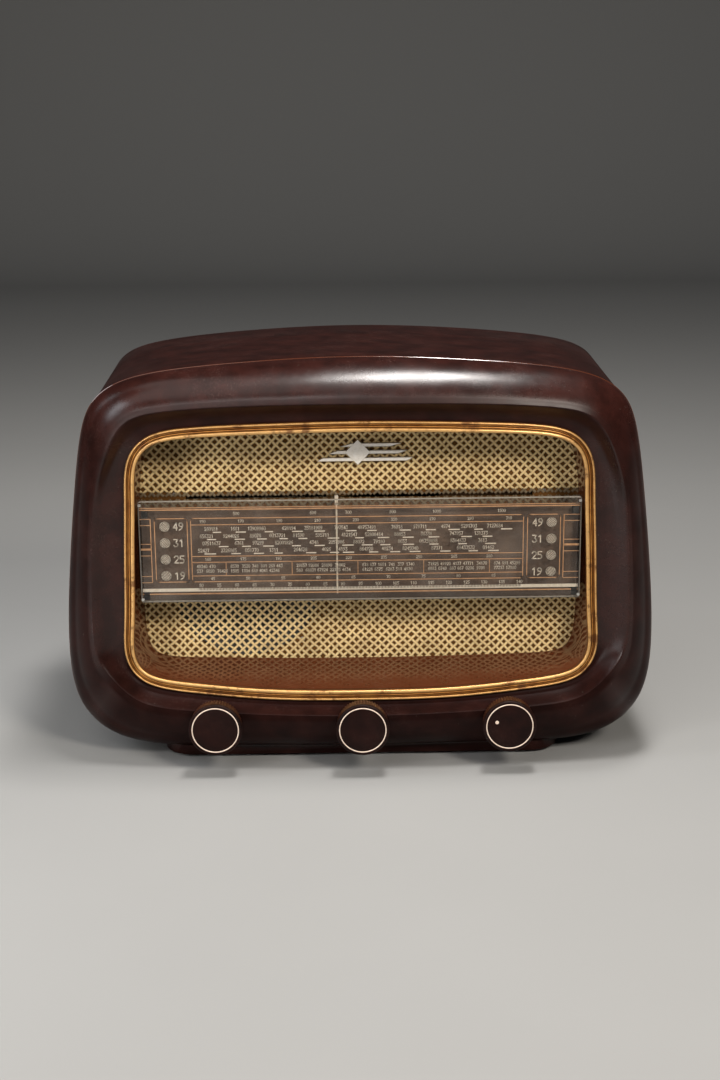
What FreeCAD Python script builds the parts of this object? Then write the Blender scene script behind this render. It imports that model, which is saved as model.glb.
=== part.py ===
import FreeCAD, Part
import math
import os

from FreeCAD import Vector

# Bakelite table radio, millimetres, +Z up, front towards -Y, +X to the viewer's right.
# Depths are counted backwards from the front ridge of the cabinet.

# ---------------------------------------------------------------- driving dimensions
KNOB_FRONT = -15.0          # depth of the most forward knob face
REAR_MOST = 203.0           # depth of the rear-most piece, the grommet's rim
FRONT_Y = -(KNOB_FRONT + REAR_MOST) / 2
FRONT_BOW_RADIUS = 1500.0   # plan radius of the bowed front
BOW_FULL = 12.5             # the bow is full up to this depth
CREASE = 35.0               # depth of the crease, where the bow has died out
REAR_RIM = 200.0
COVER_SEAT = 196.0          # depth of the ledge that the rear cover rests on
REAR_LIP = 2.5              # thickness of the wall round the rear cover
WALL = 4.5
STEP = 1.2                  # height of the crease's step

# right halves of the outlines, from bottom centre to top centre: control points of a
# closed cubic B-spline, x and height
OUTER = [(0, 6.5), (80.5, 7.5), (133, 6.5), (174, 12.3), (200.5, 37.5), (204.5, 82), (200, 140),
         (194.5, 189), (188, 238.5), (177.5, 259), (150.5, 273), (78.5, 279.5), (0, 283.5)]
REAR = [(0, 7.7), (80.5, 8.7), (133, 7.7), (173.5, 13.5), (199.3, 38), (203.3, 82), (198.7, 140),
        (193.4, 189), (189.5, 239), (180, 262), (150, 272), (78.5, 278.8), (0, 282.3)]
RIDGE = [(0, 39.5), (61, 40.5), (124.5, 43.5), (155, 46.5), (176, 71), (184, 83), (181.8, 140),
         (179.2, 186.5), (173.5, 212), (159.4, 245), (136, 252.2), (70.5, 256.1), (0, 256.5)]
BEZEL = [(0, 47.4), (61, 47.2), (118, 52.6), (152.5, 56.6), (165, 78), (161.8, 102.5),
         (160.7, 150), (158.3, 191.5), (158.3, 216), (144, 235.1), (113, 239.7), (59.3, 241.8),
         (0, 243.4)]
SILL = [(0, 65), (60, 65.5), (112, 66.8), (141.5, 67.5), (150.8, 77.5), (151.5, 112), (151.5, 150),
        (151.5, 190), (149, 212), (140, 223), (108, 230.5), (58, 233), (0, 234)]

BEZEL_WIDTH = 7.5
BEZEL_FRONT = 9.3           # depth of the bezel's face
LEDGE = 12.5                # depth of the ledge that carries the bezel
TUNNEL_END = 50.0           # depth of the window reveal's rear edge
TUNNEL_WALL = 3.0

KNOB_Z = 35.0
KNOB_SPREAD = 100.0
KNOB_RADIUS = 18.15
KNOB_BACK = -1.0            # depth of the middle knob's back
SIDE_KNOB_FRONT = -11.7
SIDE_KNOB_BACK = 2.0
SHAFT_RECESS = 3.0          # a shaft's front end stands this far behind its knob's face
RING_OUTER = 16.3
RING_INNER = 15.0
RING_DEPTH = 0.9
SHAFT_RADIUS = 3.0
RUNNING = 0.05              # radial clearance of a shaft in its bush

GLASS_X = 150.0
GLASS_LOW = 116.0
GLASS_HIGH = 187.0
GLASS_FRONT = 22.0
GLASS_THICK = 3.0
POINTER_X = -16.0
POINTER_DEPTH = 28.0
TONGUE_FRONT = 55.0         # front of the pointer carriage
PLATE_FRONT = 31.0
PLATE_THICK = 1.0
PLATE_HIGH = 180.5
PLATE_X = 149.0
ARM_LOW = 182.0             # the pointer's arm passes over the backplate at this height
ARM_HIGH = 183.0
SLOT_LOW = 181.0            # slot in the board for the pointer's arm
SLOT_HIGH = 184.5
SLOT_X = 120.0
GASKET_X = 146.5            # centre of the rubber pads between glass and backplate

CLOTH_FRONT = 50.1
CLOTH_THICK = 0.8
BOARD_FRONT = 51.0
BOARD_THICK = 3.0
BOARD_BACK = BOARD_FRONT + BOARD_THICK

CORD_DEPTH = 60.0
CORD_RADIUS = 0.4
RUN_Z = 190.0               # height of the cord's run that carries the pointer
DRUM_X = 88.0
DRUM_Z = 116.0
DRUM_PITCH = 70.3           # radius of the cord's centre line on the drum
SPINDLE_PITCH = 4.4
IDLER_PITCH = 5.0
IDLER_X = 128.0
RETURN_Z = RUN_Z - 2 * IDLER_PITCH
CENTRE_IDLER_X = -SPINDLE_PITCH - IDLER_PITCH
CENTRE_IDLER_Z = RETURN_Z - IDLER_PITCH
RAIL_Z = 197.0
ROTOR_REST = 77.4           # the vanes stand this many degrees from fully meshed at rest

SPEAKER_X = -80.0
SPEAKER_Z = 118.0
SPEAKER_RADIUS = 60.0
CONE_RADIUS = 50.0
MAGNET_FRONT = 88.0
MAGNET_BACK = 112.0

CHASSIS_X = 140.0
CHASSIS_FRONT = 75.0
CHASSIS_BACK = 190.0
CHASSIS_LOW = 16.0
DECK_Z = 50.0
SHEET = 1.5
FLOOR_BOSS_Z = 14.0
VENT_LOW = 92.0             # middle of the rear cover's lowest row of tall slots
VENT_PITCH = 24.0
VENT_SPACING = 15.0         # between the columns of slots
VENT_ROWS = 7
VENT_HALF_WIDTH = 2.0
VENT_HALF_HEIGHT = 8.0
GROMMET_X = 110.0
GROMMET_Z = 34.0
SOCKET_X = (-71, -60, -49, -38, -29)

CHASSIS_BOLTS = [(-122, 95), (122, 95), (-122, 150), (122, 150)]
FEET = [(-124, 42), (124, 42), (-124, 176), (124, 176)]
BOARD_SCREWS = [(-130, 63.5), (130, 63.5), (-130, 234), (130, 234)]
COVER_SCREWS = [(-188, 48), (188, 48), (-179, 232), (179, 232)]
VALVES = [(20, 100), (34, 158), (-36, 158), (-84, 160), (75, 158)]
IF_CANS = [(-14, 105), (-1, 158)]

PARTS = {}


# ---------------------------------------------------------------- helpers
def at(depth):
    """Y of a depth behind the front ridge."""
    return FRONT_Y + depth


def box(x0, x1, depth0, depth1, z0, z1):
    return Part.makeBox(x1 - x0, depth1 - depth0, z1 - z0, Vector(x0, at(depth0), z0))


def rod(x, z, radius, depth0, depth1):
    """Cylinder along the depth."""
    return Part.makeCylinder(radius, depth1 - depth0, Vector(x, at(depth0), z), Vector(0, 1, 0))


def post(x, depth, radius, z0, z1):
    """Upright cylinder."""
    return Part.makeCylinder(radius, z1 - z0, Vector(x, at(depth), z0))


def tube(x, z, outer, inner, depth0, depth1):
    return rod(x, z, outer, depth0, depth1).cut(rod(x, z, inner, depth0 - 1, depth1 + 1))


def fuse(shapes):
    joined = shapes[0]
    for shape in shapes[1:]:
        joined = joined.fuse(shape)
    return joined.removeSplitter()


def turned(x, z, profile):
    """Solid of revolution about a depth axis: the profile holds (radius, depth) corners."""
    corners = [Vector(x + radius, at(depth), z) for radius, depth in profile]
    face = Part.Face(Part.makePolygon(corners + corners[:1]))
    return face.revolve(Vector(x, at(0), z), Vector(0, 1, 0), 360)


def plate(corners, depth0, depth1):
    """Flat piece whose outline is a polygon of (x, height) corners."""
    points = [Vector(x, at(depth0), z) for x, z in corners]
    face = Part.Face(Part.makePolygon(points + points[:1]))
    return face.extrude(Vector(0, depth1 - depth0, 0))


def add(name, *solids):
    """Keep one node: one solid, or a group of separate ones."""
    shape = solids[0] if len(solids) == 1 else Part.makeCompound(list(solids))
    if not shape.isValid():
        print("INVALID", name)
    PARTS[name] = shape
    return shape


# ---------------------------------------------------------------- outlines of the cabinet
def whole(right_half):
    """Both halves of an outline."""
    return right_half + [(-x, z) for x, z in right_half[-2:0:-1]]


def blend(first, second, share):
    return [(a[0] + (b[0] - a[0]) * share, a[1] + (b[1] - a[1]) * share)
            for a, b in zip(first, second)]


def inset(points, amount):
    """Move each control point inwards, square to its neighbours' chord."""
    moved = []
    count = len(points)
    for i in range(count):
        before = points[i - 1]
        after = points[(i + 1) % count]
        run = after[0] - before[0]
        rise = after[1] - before[1]
        length = math.hypot(run, rise)
        x = points[i][0] - amount * rise / length
        z = points[i][1] + amount * run / length
        moved.append((x, z))
    return moved


def bow(x, depth):
    """How far the bowed front lies behind a flat one."""
    fade = (CREASE - depth) / (CREASE - BOW_FULL)
    share = min(1.0, max(0.0, fade))
    return share * x * x / (2 * FRONT_BOW_RADIUS)


def ring(right_half, depth, amount=0.0):
    """Closed outline at a depth, moved inwards by an amount."""
    points = inset(whole(right_half), amount)
    poles = [Vector(x, at(depth) + bow(x, depth), z) for x, z in points]
    count = len(poles)
    curve = Part.BSplineCurve()
    curve.buildFromPolesMultsKnots(poles, [1] * (count + 1), list(range(count + 1)), True, 3)
    return Part.Wire([curve.toShape()])


def hoop(rings):
    """Solid that runs once round the window: its section's corners are the rings."""
    skin = Part.makeLoft(rings, False, True, True)
    solid = Part.Solid(Part.Shell(skin.Faces))
    if solid.Volume < 0:
        solid.reverse()
    return solid


def slab(right_half, depth0, depth1, amount=0.0):
    """Solid between two equal outlines."""
    return Part.makeLoft([ring(right_half, depth0, amount), ring(right_half, depth1, amount)],
                         True, True)


# ---------------------------------------------------------------- cabinet
def roll(turn, amount):
    """Outline on the front roll: 0 degrees is the ridge, 90 the crease."""
    angle = math.radians(turn)
    return ring(blend(RIDGE, OUTER, math.sin(angle)), CREASE * (1 - math.cos(angle)), amount)


def cabinet():
    window = [(x, z) for x, z in inset(whole(BEZEL), BEZEL_WIDTH - 1.5)[:len(BEZEL)]]
    rings = [ring(REAR, REAR_RIM), ring(OUTER, CREASE + 1.5, STEP)]
    rings += [roll(turn, 0) for turn in (90, 72, 54, 36, 18)]
    rings += [ring(RIDGE, 0, 1.5)]
    rings += [ring(blend(RIDGE, BEZEL, 0.45), 6.5, 1.5)]
    rings += [ring(BEZEL, LEDGE, -0.6)]
    rings += [ring(window, LEDGE)]
    rings += [ring(SILL, TUNNEL_END), ring(SILL, TUNNEL_END, -TUNNEL_WALL)]
    rings += [ring(window, 20.5, -TUNNEL_WALL)]
    rings += [ring(RIDGE, 6.5, 1.0)]
    rings += [roll(turn, WALL) for turn in (36, 63, 90)]
    rings += [ring(REAR, COVER_SEAT, WALL), ring(REAR, COVER_SEAT, REAR_LIP)]
    rings += [ring(REAR, REAR_RIM, REAR_LIP)]
    shell = hoop(rings)
    outside = slab(REAR, 150, REAR_RIM, 0.5)
    bosses = [rod(x, z, 5, 34, TUNNEL_END) for x, z in BOARD_SCREWS]
    bosses += [rod(x, z, 7, 172, COVER_SEAT).common(outside) for x, z in COVER_SCREWS]
    bosses += [post(x, depth, 8, 8, FLOOR_BOSS_Z) for x, depth in CHASSIS_BOLTS]
    plinth = box(-140, 140, 26, 191, 2, 9.5)
    upright = [edge for edge in plinth.Edges if abs(edge.tangentAt(edge.FirstParameter).z) > 0.9]
    plinth = plinth.makeFillet(22, upright)
    inside = box(-128, 128, 38, 179, 0, 7.5)
    upright = [edge for edge in inside.Edges if abs(edge.tangentAt(edge.FirstParameter).z) > 0.9]
    plinth = plinth.cut(inside.makeFillet(12, upright))
    pads = [post(x, depth, 11, 2, 8) for x, depth in FEET]
    shell = fuse([shell] + bosses + [plinth] + pads)
    holes = [rod(x, KNOB_Z, 5, -5, 33) for x in (-KNOB_SPREAD, 0, KNOB_SPREAD)]
    holes += [rod(x, z, 1.6, 38, TUNNEL_END + 1) for x, z in BOARD_SCREWS]
    holes += [rod(x, z, 1.6, 182, REAR_RIM) for x, z in COVER_SCREWS]
    holes += [post(x, depth, 2.2, 0, 20) for x, depth in CHASSIS_BOLTS]
    holes += [post(x, depth, 2.6, 0, 5.5) for x, depth in FEET]
    shell = shell.cut(Part.makeCompound(holes))
    add("cabinet_shell", shell)

    inner = inset(whole(BEZEL), BEZEL_WIDTH)[:len(BEZEL)]
    back = LEDGE - 0.05
    add("window_bezel", hoop([ring(BEZEL, back), ring(BEZEL, BEZEL_FRONT + 1, 0.2),
                              ring(BEZEL, BEZEL_FRONT, 1.2), ring(inner, BEZEL_FRONT, -1.0),
                              ring(inner, BEZEL_FRONT + 1, -0.1), ring(inner, back)]))


def small_trim():
    """Feet, screws and bolts of the cabinet."""
    add("rubber_feet", *[post(x, depth, 8, 0, 2).fuse(post(x, depth, 2.5, 2, 5)).removeSplitter()
                         for x, depth in FEET])
    add("board_screws", *[rod(x, z, 1.5, 40, BOARD_BACK)
                          .fuse(rod(x, z, 3.2, BOARD_BACK, BOARD_BACK + 2)).removeSplitter()
                          for x, z in BOARD_SCREWS])
    add("rear_cover_screws", *[rod(x, z, 1.5, 184, REAR_RIM)
                               .fuse(rod(x, z, 3.6, REAR_RIM - 0.8, REAR_RIM + 1.4))
                               .removeSplitter() for x, z in COVER_SCREWS])
    bolts = []
    for x, depth in CHASSIS_BOLTS:
        shank = post(x, depth, 2, 6.5, 23)
        head = post(x, depth, 4, 4, 6.5)
        nut = post(x, depth, 3.8, CHASSIS_LOW + SHEET, CHASSIS_LOW + SHEET + 3)
        bolts.append(fuse([shank, head, nut]))
    add("chassis_bolts", *bolts)
    add("chassis_washers", *[post(x, depth, 7, FLOOR_BOSS_Z, CHASSIS_LOW)
                             .cut(post(x, depth, 2.2, 0, 30)) for x, depth in CHASSIS_BOLTS])


def rear():
    """Perforated cover, its grommet, and the panels on the chassis behind it."""
    cover = slab(REAR, COVER_SEAT + 0.2, COVER_SEAT + 3.2, REAR_LIP + 0.5)
    near = COVER_SEAT - 6
    far = COVER_SEAT + 14
    slots = []
    for row in range(VENT_ROWS):
        for column in range(-10, 11):
            x = column * VENT_SPACING
            z = VENT_LOW + row * VENT_PITCH
            if abs(x) < 158 - 8 * max(0, row - 5):
                slots.append(box(x - VENT_HALF_WIDTH, x + VENT_HALF_WIDTH, near, far,
                                 z - VENT_HALF_HEIGHT, z + VENT_HALF_HEIGHT))
    for column in range(-5, 6):
        x = column * VENT_SPACING
        slots.append(box(x - VENT_HALF_WIDTH, x + VENT_HALF_WIDTH, near, far, 56, 64))
    slots.append(box(-82, -18, near, far, 22, 48))
    slots.append(box(18, 62, near, far, 22, 48))
    slots.append(rod(GROMMET_X, GROMMET_Z, 5.2, near, far))
    slots += [rod(x, z, 1.7, near, far) for x, z in COVER_SCREWS]
    add("rear_cover", cover.cut(Part.makeCompound(slots)))
    add("cord_grommet", turned(GROMMET_X, GROMMET_Z,
                               [(3.5, 193), (7.5, 193), (7.5, 196.1), (5.1, 196.1), (5.1, 199.3),
                                (7.5, 199.3), (7.5, 202), (6.5, REAR_MOST), (3.5, REAR_MOST)]))
    panel = box(-78, -22, CHASSIS_BACK, CHASSIS_BACK + 2, 25, 45)
    for x in SOCKET_X:
        panel = panel.fuse(rod(x, 35, 3.4, CHASSIS_BACK + 2, CHASSIS_BACK + 5))
        panel = panel.cut(rod(x, 35, 2, CHASSIS_BACK + 1, CHASSIS_BACK + 6))
    add("rear_socket_panel", panel)
    selector = fuse([box(22, 58, CHASSIS_BACK, CHASSIS_BACK + 2, 25, 45),
                     rod(40, 35, 8.5, CHASSIS_BACK + 2, CHASSIS_BACK + 6)])
    pins = [rod(40 + 5 * math.cos(math.radians(60 * k)), 35 + 5 * math.sin(math.radians(60 * k)),
                1.2, CHASSIS_BACK + 3, CHASSIS_BACK + 7) for k in range(6)]
    add("voltage_selector", selector.cut(Part.makeCompound(pins)))


# ---------------------------------------------------------------- grille and dial
def grille():
    board = box(-158, 158, BOARD_FRONT, BOARD_BACK, 54, 246)
    upright = [edge for edge in board.Edges if abs(edge.tangentAt(edge.FirstParameter).y) > 0.9]
    board = board.makeFillet(14, upright)
    cuts = [rod(SPEAKER_X, SPEAKER_Z, CONE_RADIUS + 1, 40, 60)]
    cuts += [box(-SLOT_X, SLOT_X, 40, 60, SLOT_LOW, SLOT_HIGH)]
    cuts += [rod(x, z, 1.7, 40, 60) for x, z in BOARD_SCREWS]
    cuts += [rod(x, z, 1.6, 40, 60) for x, z in speaker_corners()]
    cuts += [rod(x, z, 1.3, 40, 60) for x, z in idler_centres()]
    board = board.cut(Part.makeCompound(cuts))
    add("grille_board", board)

    cloth = slab(SILL, CLOTH_FRONT, CLOTH_FRONT + CLOTH_THICK, -2.5)
    upper = cloth.common(box(-170, 170, 40, 60, SLOT_HIGH + 0.5, 300))
    lower = cloth.common(box(-170, 170, 40, 60, 0, 118))
    add("grille_cloth", upper, lower)

    # three tapered speed bars joined by a small lozenge, standing off the cloth
    bars = []
    for k in range(3):
        z = 209 + 5 * k
        half = 33 - 6 * k
        tip = 4 + 2 * k
        bars.append(plate([(-half + tip, z - 1.1), (half, z - 1.1), (half + tip, z + 1.1),
                           (-half + 2 * tip, z + 1.1)], 47.4, 49))
    lozenge = plate([(-1, 205), (8, 214), (-1, 223), (-10, 214)], 47.2, 49)
    pins = [rod(x, 214, 1, 49, CLOTH_FRONT - 0.05) for x in (-4, 2)]
    add("badge", fuse(bars + [lozenge] + pins))


def dial():
    """Printed glass, its backplate and posts, and the pointer with its carriage and rail."""
    glass_back = GLASS_FRONT + GLASS_THICK
    add("dial_glass", box(-GLASS_X, GLASS_X, GLASS_FRONT, glass_back, GLASS_LOW, GLASS_HIGH))
    add("glass_gaskets", *[box(x - 2, x + 2, glass_back, PLATE_FRONT, z - 2.5, z + 2.5)
                           for x in (-GASKET_X, GASKET_X)
                           for z in (GLASS_LOW + 3.5, PLATE_HIGH - 3.5)])
    add("dial_backplate", box(-PLATE_X, PLATE_X, PLATE_FRONT, PLATE_FRONT + PLATE_THICK,
                              GLASS_LOW, PLATE_HIGH))
    plate_back = PLATE_FRONT + PLATE_THICK
    add("dial_posts", *[rod(x, z, 3, plate_back, CLOTH_FRONT - 0.05).fuse(
                        rod(x, z, 1.5, CLOTH_FRONT - 0.05, BOARD_FRONT)).removeSplitter()
                        for x in (-138, 138) for z in (128, 172)])
    holders = []
    lamps = []
    for side in (-1, 1):
        x = side * 100
        holders.append(fuse([box(x - 6, x + 6, plate_back, plate_back + 1, 150, 172),
                             tube(x, 162, 5.5, 4.4, plate_back + 1, plate_back + 9)]))
        lamps.append(fuse([rod(x, 162, 4.2, plate_back + 2, plate_back + 10),
                           turned_bulb(x, 162, 5, plate_back + 10)]))
    add("lamp_holders", *holders)
    add("dial_lamps", *lamps)

    # the tongue reaches down in front of the drum's rim
    carriage = fuse([box(POINTER_X - 7, POINTER_X + 7, 56, 63.5, 188.4, 201),
                     box(POINTER_X - 7, POINTER_X + 7, TONGUE_FRONT, 57, ARM_LOW - 0.5, 201)])
    carriage = carriage.cut(Part.makeCylinder(1.5 + RUNNING, 20,
                                              Vector(POINTER_X - 10, at(CORD_DEPTH), RAIL_Z),
                                              Vector(1, 0, 0)))
    carriage = carriage.cut(Part.makeCylinder(CORD_RADIUS + 0.35, 20,
                                              Vector(POINTER_X - 10, at(CORD_DEPTH), RUN_Z),
                                              Vector(1, 0, 0)))
    add("pointer_carriage", carriage)
    arm = box(POINTER_X - 1.2, POINTER_X + 1.2, POINTER_DEPTH, TONGUE_FRONT,
              ARM_LOW, ARM_HIGH)
    needle = box(POINTER_X - 0.55, POINTER_X + 0.55, POINTER_DEPTH - 0.5, POINTER_DEPTH + 0.5,
                 GLASS_LOW + 0.5, ARM_HIGH)
    add("dial_pointer", fuse([arm, needle]))
    add("pointer_rail", Part.makeCylinder(1.5, 284, Vector(-142, at(CORD_DEPTH), RAIL_Z),
                                          Vector(1, 0, 0)))
    brackets = []
    for side in (-1, 1):
        x = side * 140
        ear = box(x - 1, x + 1, BOARD_BACK, 64, 191, 203)
        ear = ear.cut(Part.makeCylinder(1.5, 10, Vector(x - 5, at(CORD_DEPTH), RAIL_Z),
                                        Vector(1, 0, 0)))
        tab = box(min(x, x + side * 9), max(x, x + side * 9), BOARD_BACK, BOARD_BACK + 1.2,
                  191, 203)
        brackets.append(fuse([ear, tab]))
    add("rail_brackets", *brackets)


def turned_bulb(x, z, radius, depth):
    """Small round bulb standing on its cap."""
    return Part.makeSphere(radius, Vector(x, at(depth + radius * 0.7), z)).cut(
        rod(x, z, radius + 1, depth - 5, depth))


# ---------------------------------------------------------------- dial drive
def idler_centres():
    return [(-IDLER_X, RUN_Z - IDLER_PITCH), (IDLER_X, RUN_Z - IDLER_PITCH),
            (CENTRE_IDLER_X, CENTRE_IDLER_Z)]


def grooved(x, z, pitch, rim, inner_bore):
    """Pulley round the cord's plane, with a groove that clears the cord."""
    groove = pitch - CORD_RADIUS - 0.1
    low = CORD_DEPTH - 2.2
    high = CORD_DEPTH + 2.2
    half = CORD_RADIUS + 0.3
    return turned(x, z, [(inner_bore, low), (rim, low), (rim, CORD_DEPTH - half - 0.6),
                         (groove, CORD_DEPTH - half), (groove, CORD_DEPTH + half),
                         (rim, CORD_DEPTH + half + 0.6), (rim, high), (inner_bore, high)])


def tangent(first, second):
    """Straight run between two turns: each is x, z, pitch radius, and +1 for an anticlockwise turn
    seen from the front."""
    x1, z1, r1, s1 = first
    x2, z2, r2, s2 = second
    gap = math.hypot(x2 - x1, z2 - z1)
    heading = math.atan2(z2 - z1, x2 - x1)
    lean = math.asin((s2 * r2 - s1 * r1) / gap)
    angle = heading - lean
    normal = (math.sin(angle), -math.cos(angle))
    start = (x1 + s1 * r1 * normal[0], z1 + s1 * r1 * normal[1])
    end = (x2 + s2 * r2 * normal[0], z2 + s2 * r2 * normal[1])
    return start, end


def drive_cord():
    """Cord tied to the drum at both ends, round the spindle and the three idlers."""
    drum = (DRUM_X, DRUM_Z, DRUM_PITCH, 1)
    right = (IDLER_X, RUN_Z - IDLER_PITCH, IDLER_PITCH, 1)
    left = (-IDLER_X, RUN_Z - IDLER_PITCH, IDLER_PITCH, 1)
    centre = (CENTRE_IDLER_X, CENTRE_IDLER_Z, IDLER_PITCH, -1)
    spindle = (0, KNOB_Z, SPINDLE_PITCH, 1)
    stops = [drum, right, left, centre, spindle, drum]
    runs = [tangent(stops[i], stops[i + 1]) for i in range(len(stops) - 1)]

    def angle_on(stop, point):
        return math.atan2(point[1] - stop[1], point[0] - stop[0])

    def arc(stop, first, last):
        while (last - first) * stop[3] < 0:
            last += stop[3] * 2 * math.pi
        middle = (first + last) / 2
        points = [Vector(stop[0] + stop[2] * math.cos(a), at(CORD_DEPTH),
                         stop[1] + stop[2] * math.sin(a)) for a in (first, middle, last)]
        return Part.Arc(points[0], points[1], points[2]).toShape()

    tie = math.radians(-30)
    edges = [arc(drum, tie + math.radians(4), angle_on(drum, runs[0][0]))]
    for i, (start, end) in enumerate(runs):
        a = Vector(start[0], at(CORD_DEPTH), start[1])
        b = Vector(end[0], at(CORD_DEPTH), end[1])
        edges.append(Part.LineSegment(a, b).toShape())
        if i < len(runs) - 1:
            stop = stops[i + 1]
            edges.append(arc(stop, angle_on(stop, end), angle_on(stop, runs[i + 1][0])))
    edges.append(arc(drum, angle_on(drum, runs[-1][1]), tie - math.radians(4)))
    path = Part.Wire(edges)
    start = edges[0].valueAt(edges[0].FirstParameter)
    heading = edges[0].tangentAt(edges[0].FirstParameter)
    section = Part.Wire([Part.Circle(start, heading, CORD_RADIUS).toShape()])
    cord = path.makePipeShell([section], True, True)
    expected = path.Length * math.pi * CORD_RADIUS ** 2
    print("drive cord %.1f mm long, volume ratio %.3f" % (path.Length, cord.Volume / expected))
    print("drive cord radii", DRUM_PITCH, IDLER_PITCH, SPINDLE_PITCH)
    add("drive_cord", cord)


def drive():
    drive_cord()
    names = ("idler_left", "idler_right", "idler_centre")
    for name, (x, z) in zip(names, idler_centres()):
        add(name, grooved(x, z, IDLER_PITCH, 6.6, 2 + RUNNING))
    add("idler_posts", *[fuse([rod(x, z, 2, BOARD_BACK, 64.5),
                               rod(x, z, 4, BOARD_BACK, CORD_DEPTH - 2.5),
                               rod(x, z, 3.4, CORD_DEPTH + 2.5, 65),
                               rod(x, z, 1.25, BOARD_FRONT, BOARD_BACK)])
                         for x, z in idler_centres()])

    drum = fuse([grooved(DRUM_X, DRUM_Z, DRUM_PITCH, DRUM_PITCH + 1.4, 62),
                 rod(DRUM_X, DRUM_Z, 63, CORD_DEPTH - 0.8, CORD_DEPTH + 0.8),
                 rod(DRUM_X, DRUM_Z, 9, CORD_DEPTH - 4, CORD_DEPTH + 6)])
    cuts = [rod(DRUM_X, DRUM_Z, 3.175, 50, 70)]
    for k in range(6):
        angle = math.radians(60 * k + 30)
        cuts.append(rod(DRUM_X + 38 * math.cos(angle), DRUM_Z + 38 * math.sin(angle), 13, 50, 70))
    add("tuning_drum", drum.cut(Part.makeCompound(cuts)))

    spindle = fuse([rod(0, KNOB_Z, SHAFT_RADIUS, KNOB_FRONT + SHAFT_RECESS, 82),
                    rod(0, KNOB_Z, 5.5, CORD_DEPTH - 4, CORD_DEPTH + 4)])
    waist = turned(0, KNOB_Z, [(SPINDLE_PITCH - CORD_RADIUS - 0.1, CORD_DEPTH - 2),
                               (7, CORD_DEPTH - 2), (7, CORD_DEPTH + 2),
                               (SPINDLE_PITCH - CORD_RADIUS - 0.1, CORD_DEPTH + 2)])
    add("tuning_spindle", spindle.cut(waist))
    bush = fuse([tube(0, KNOB_Z, 5, SHAFT_RADIUS + RUNNING, 67, 80),
                 tube(0, KNOB_Z, 8, SHAFT_RADIUS + RUNNING, 72.5, CHASSIS_FRONT)])
    add("spindle_bush", bush)


# ---------------------------------------------------------------- knobs
def knob(name, x, front, back):
    """Fluted push-on knob with a smooth rim and a groove for its inlaid ring."""
    rim = turned(x, KNOB_Z, [(0, front), (KNOB_RADIUS - 0.8, front), (KNOB_RADIUS, front + 0.8),
                             (KNOB_RADIUS, front + 3), (KNOB_RADIUS - 0.6, front + 3.4),
                             (0, front + 3.4)])
    grip = turned(x, KNOB_Z, [(0, front + 3), (KNOB_RADIUS - 0.7, front + 3),
                              (KNOB_RADIUS - 1.3, back), (0, back)])
    flutes = []
    for k in range(48):
        angle = math.radians(7.5 * k)
        flutes.append(rod(x + KNOB_RADIUS * math.cos(angle), KNOB_Z + KNOB_RADIUS * math.sin(angle),
                          0.9, front + 3.4, back + 1))
    body = fuse([rim, grip.cut(Part.makeCompound(flutes))])
    groove = tube(x, KNOB_Z, RING_OUTER + 0.05, RING_INNER - 0.05, front - 1, front + 1)
    body = body.cut(groove)
    body = body.cut(rod(x, KNOB_Z, SHAFT_RADIUS, front + SHAFT_RECESS, back + 1))
    add(name + "_knob_ring", tube(x, KNOB_Z, RING_OUTER, RING_INNER, front, front + RING_DEPTH))
    return body


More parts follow.
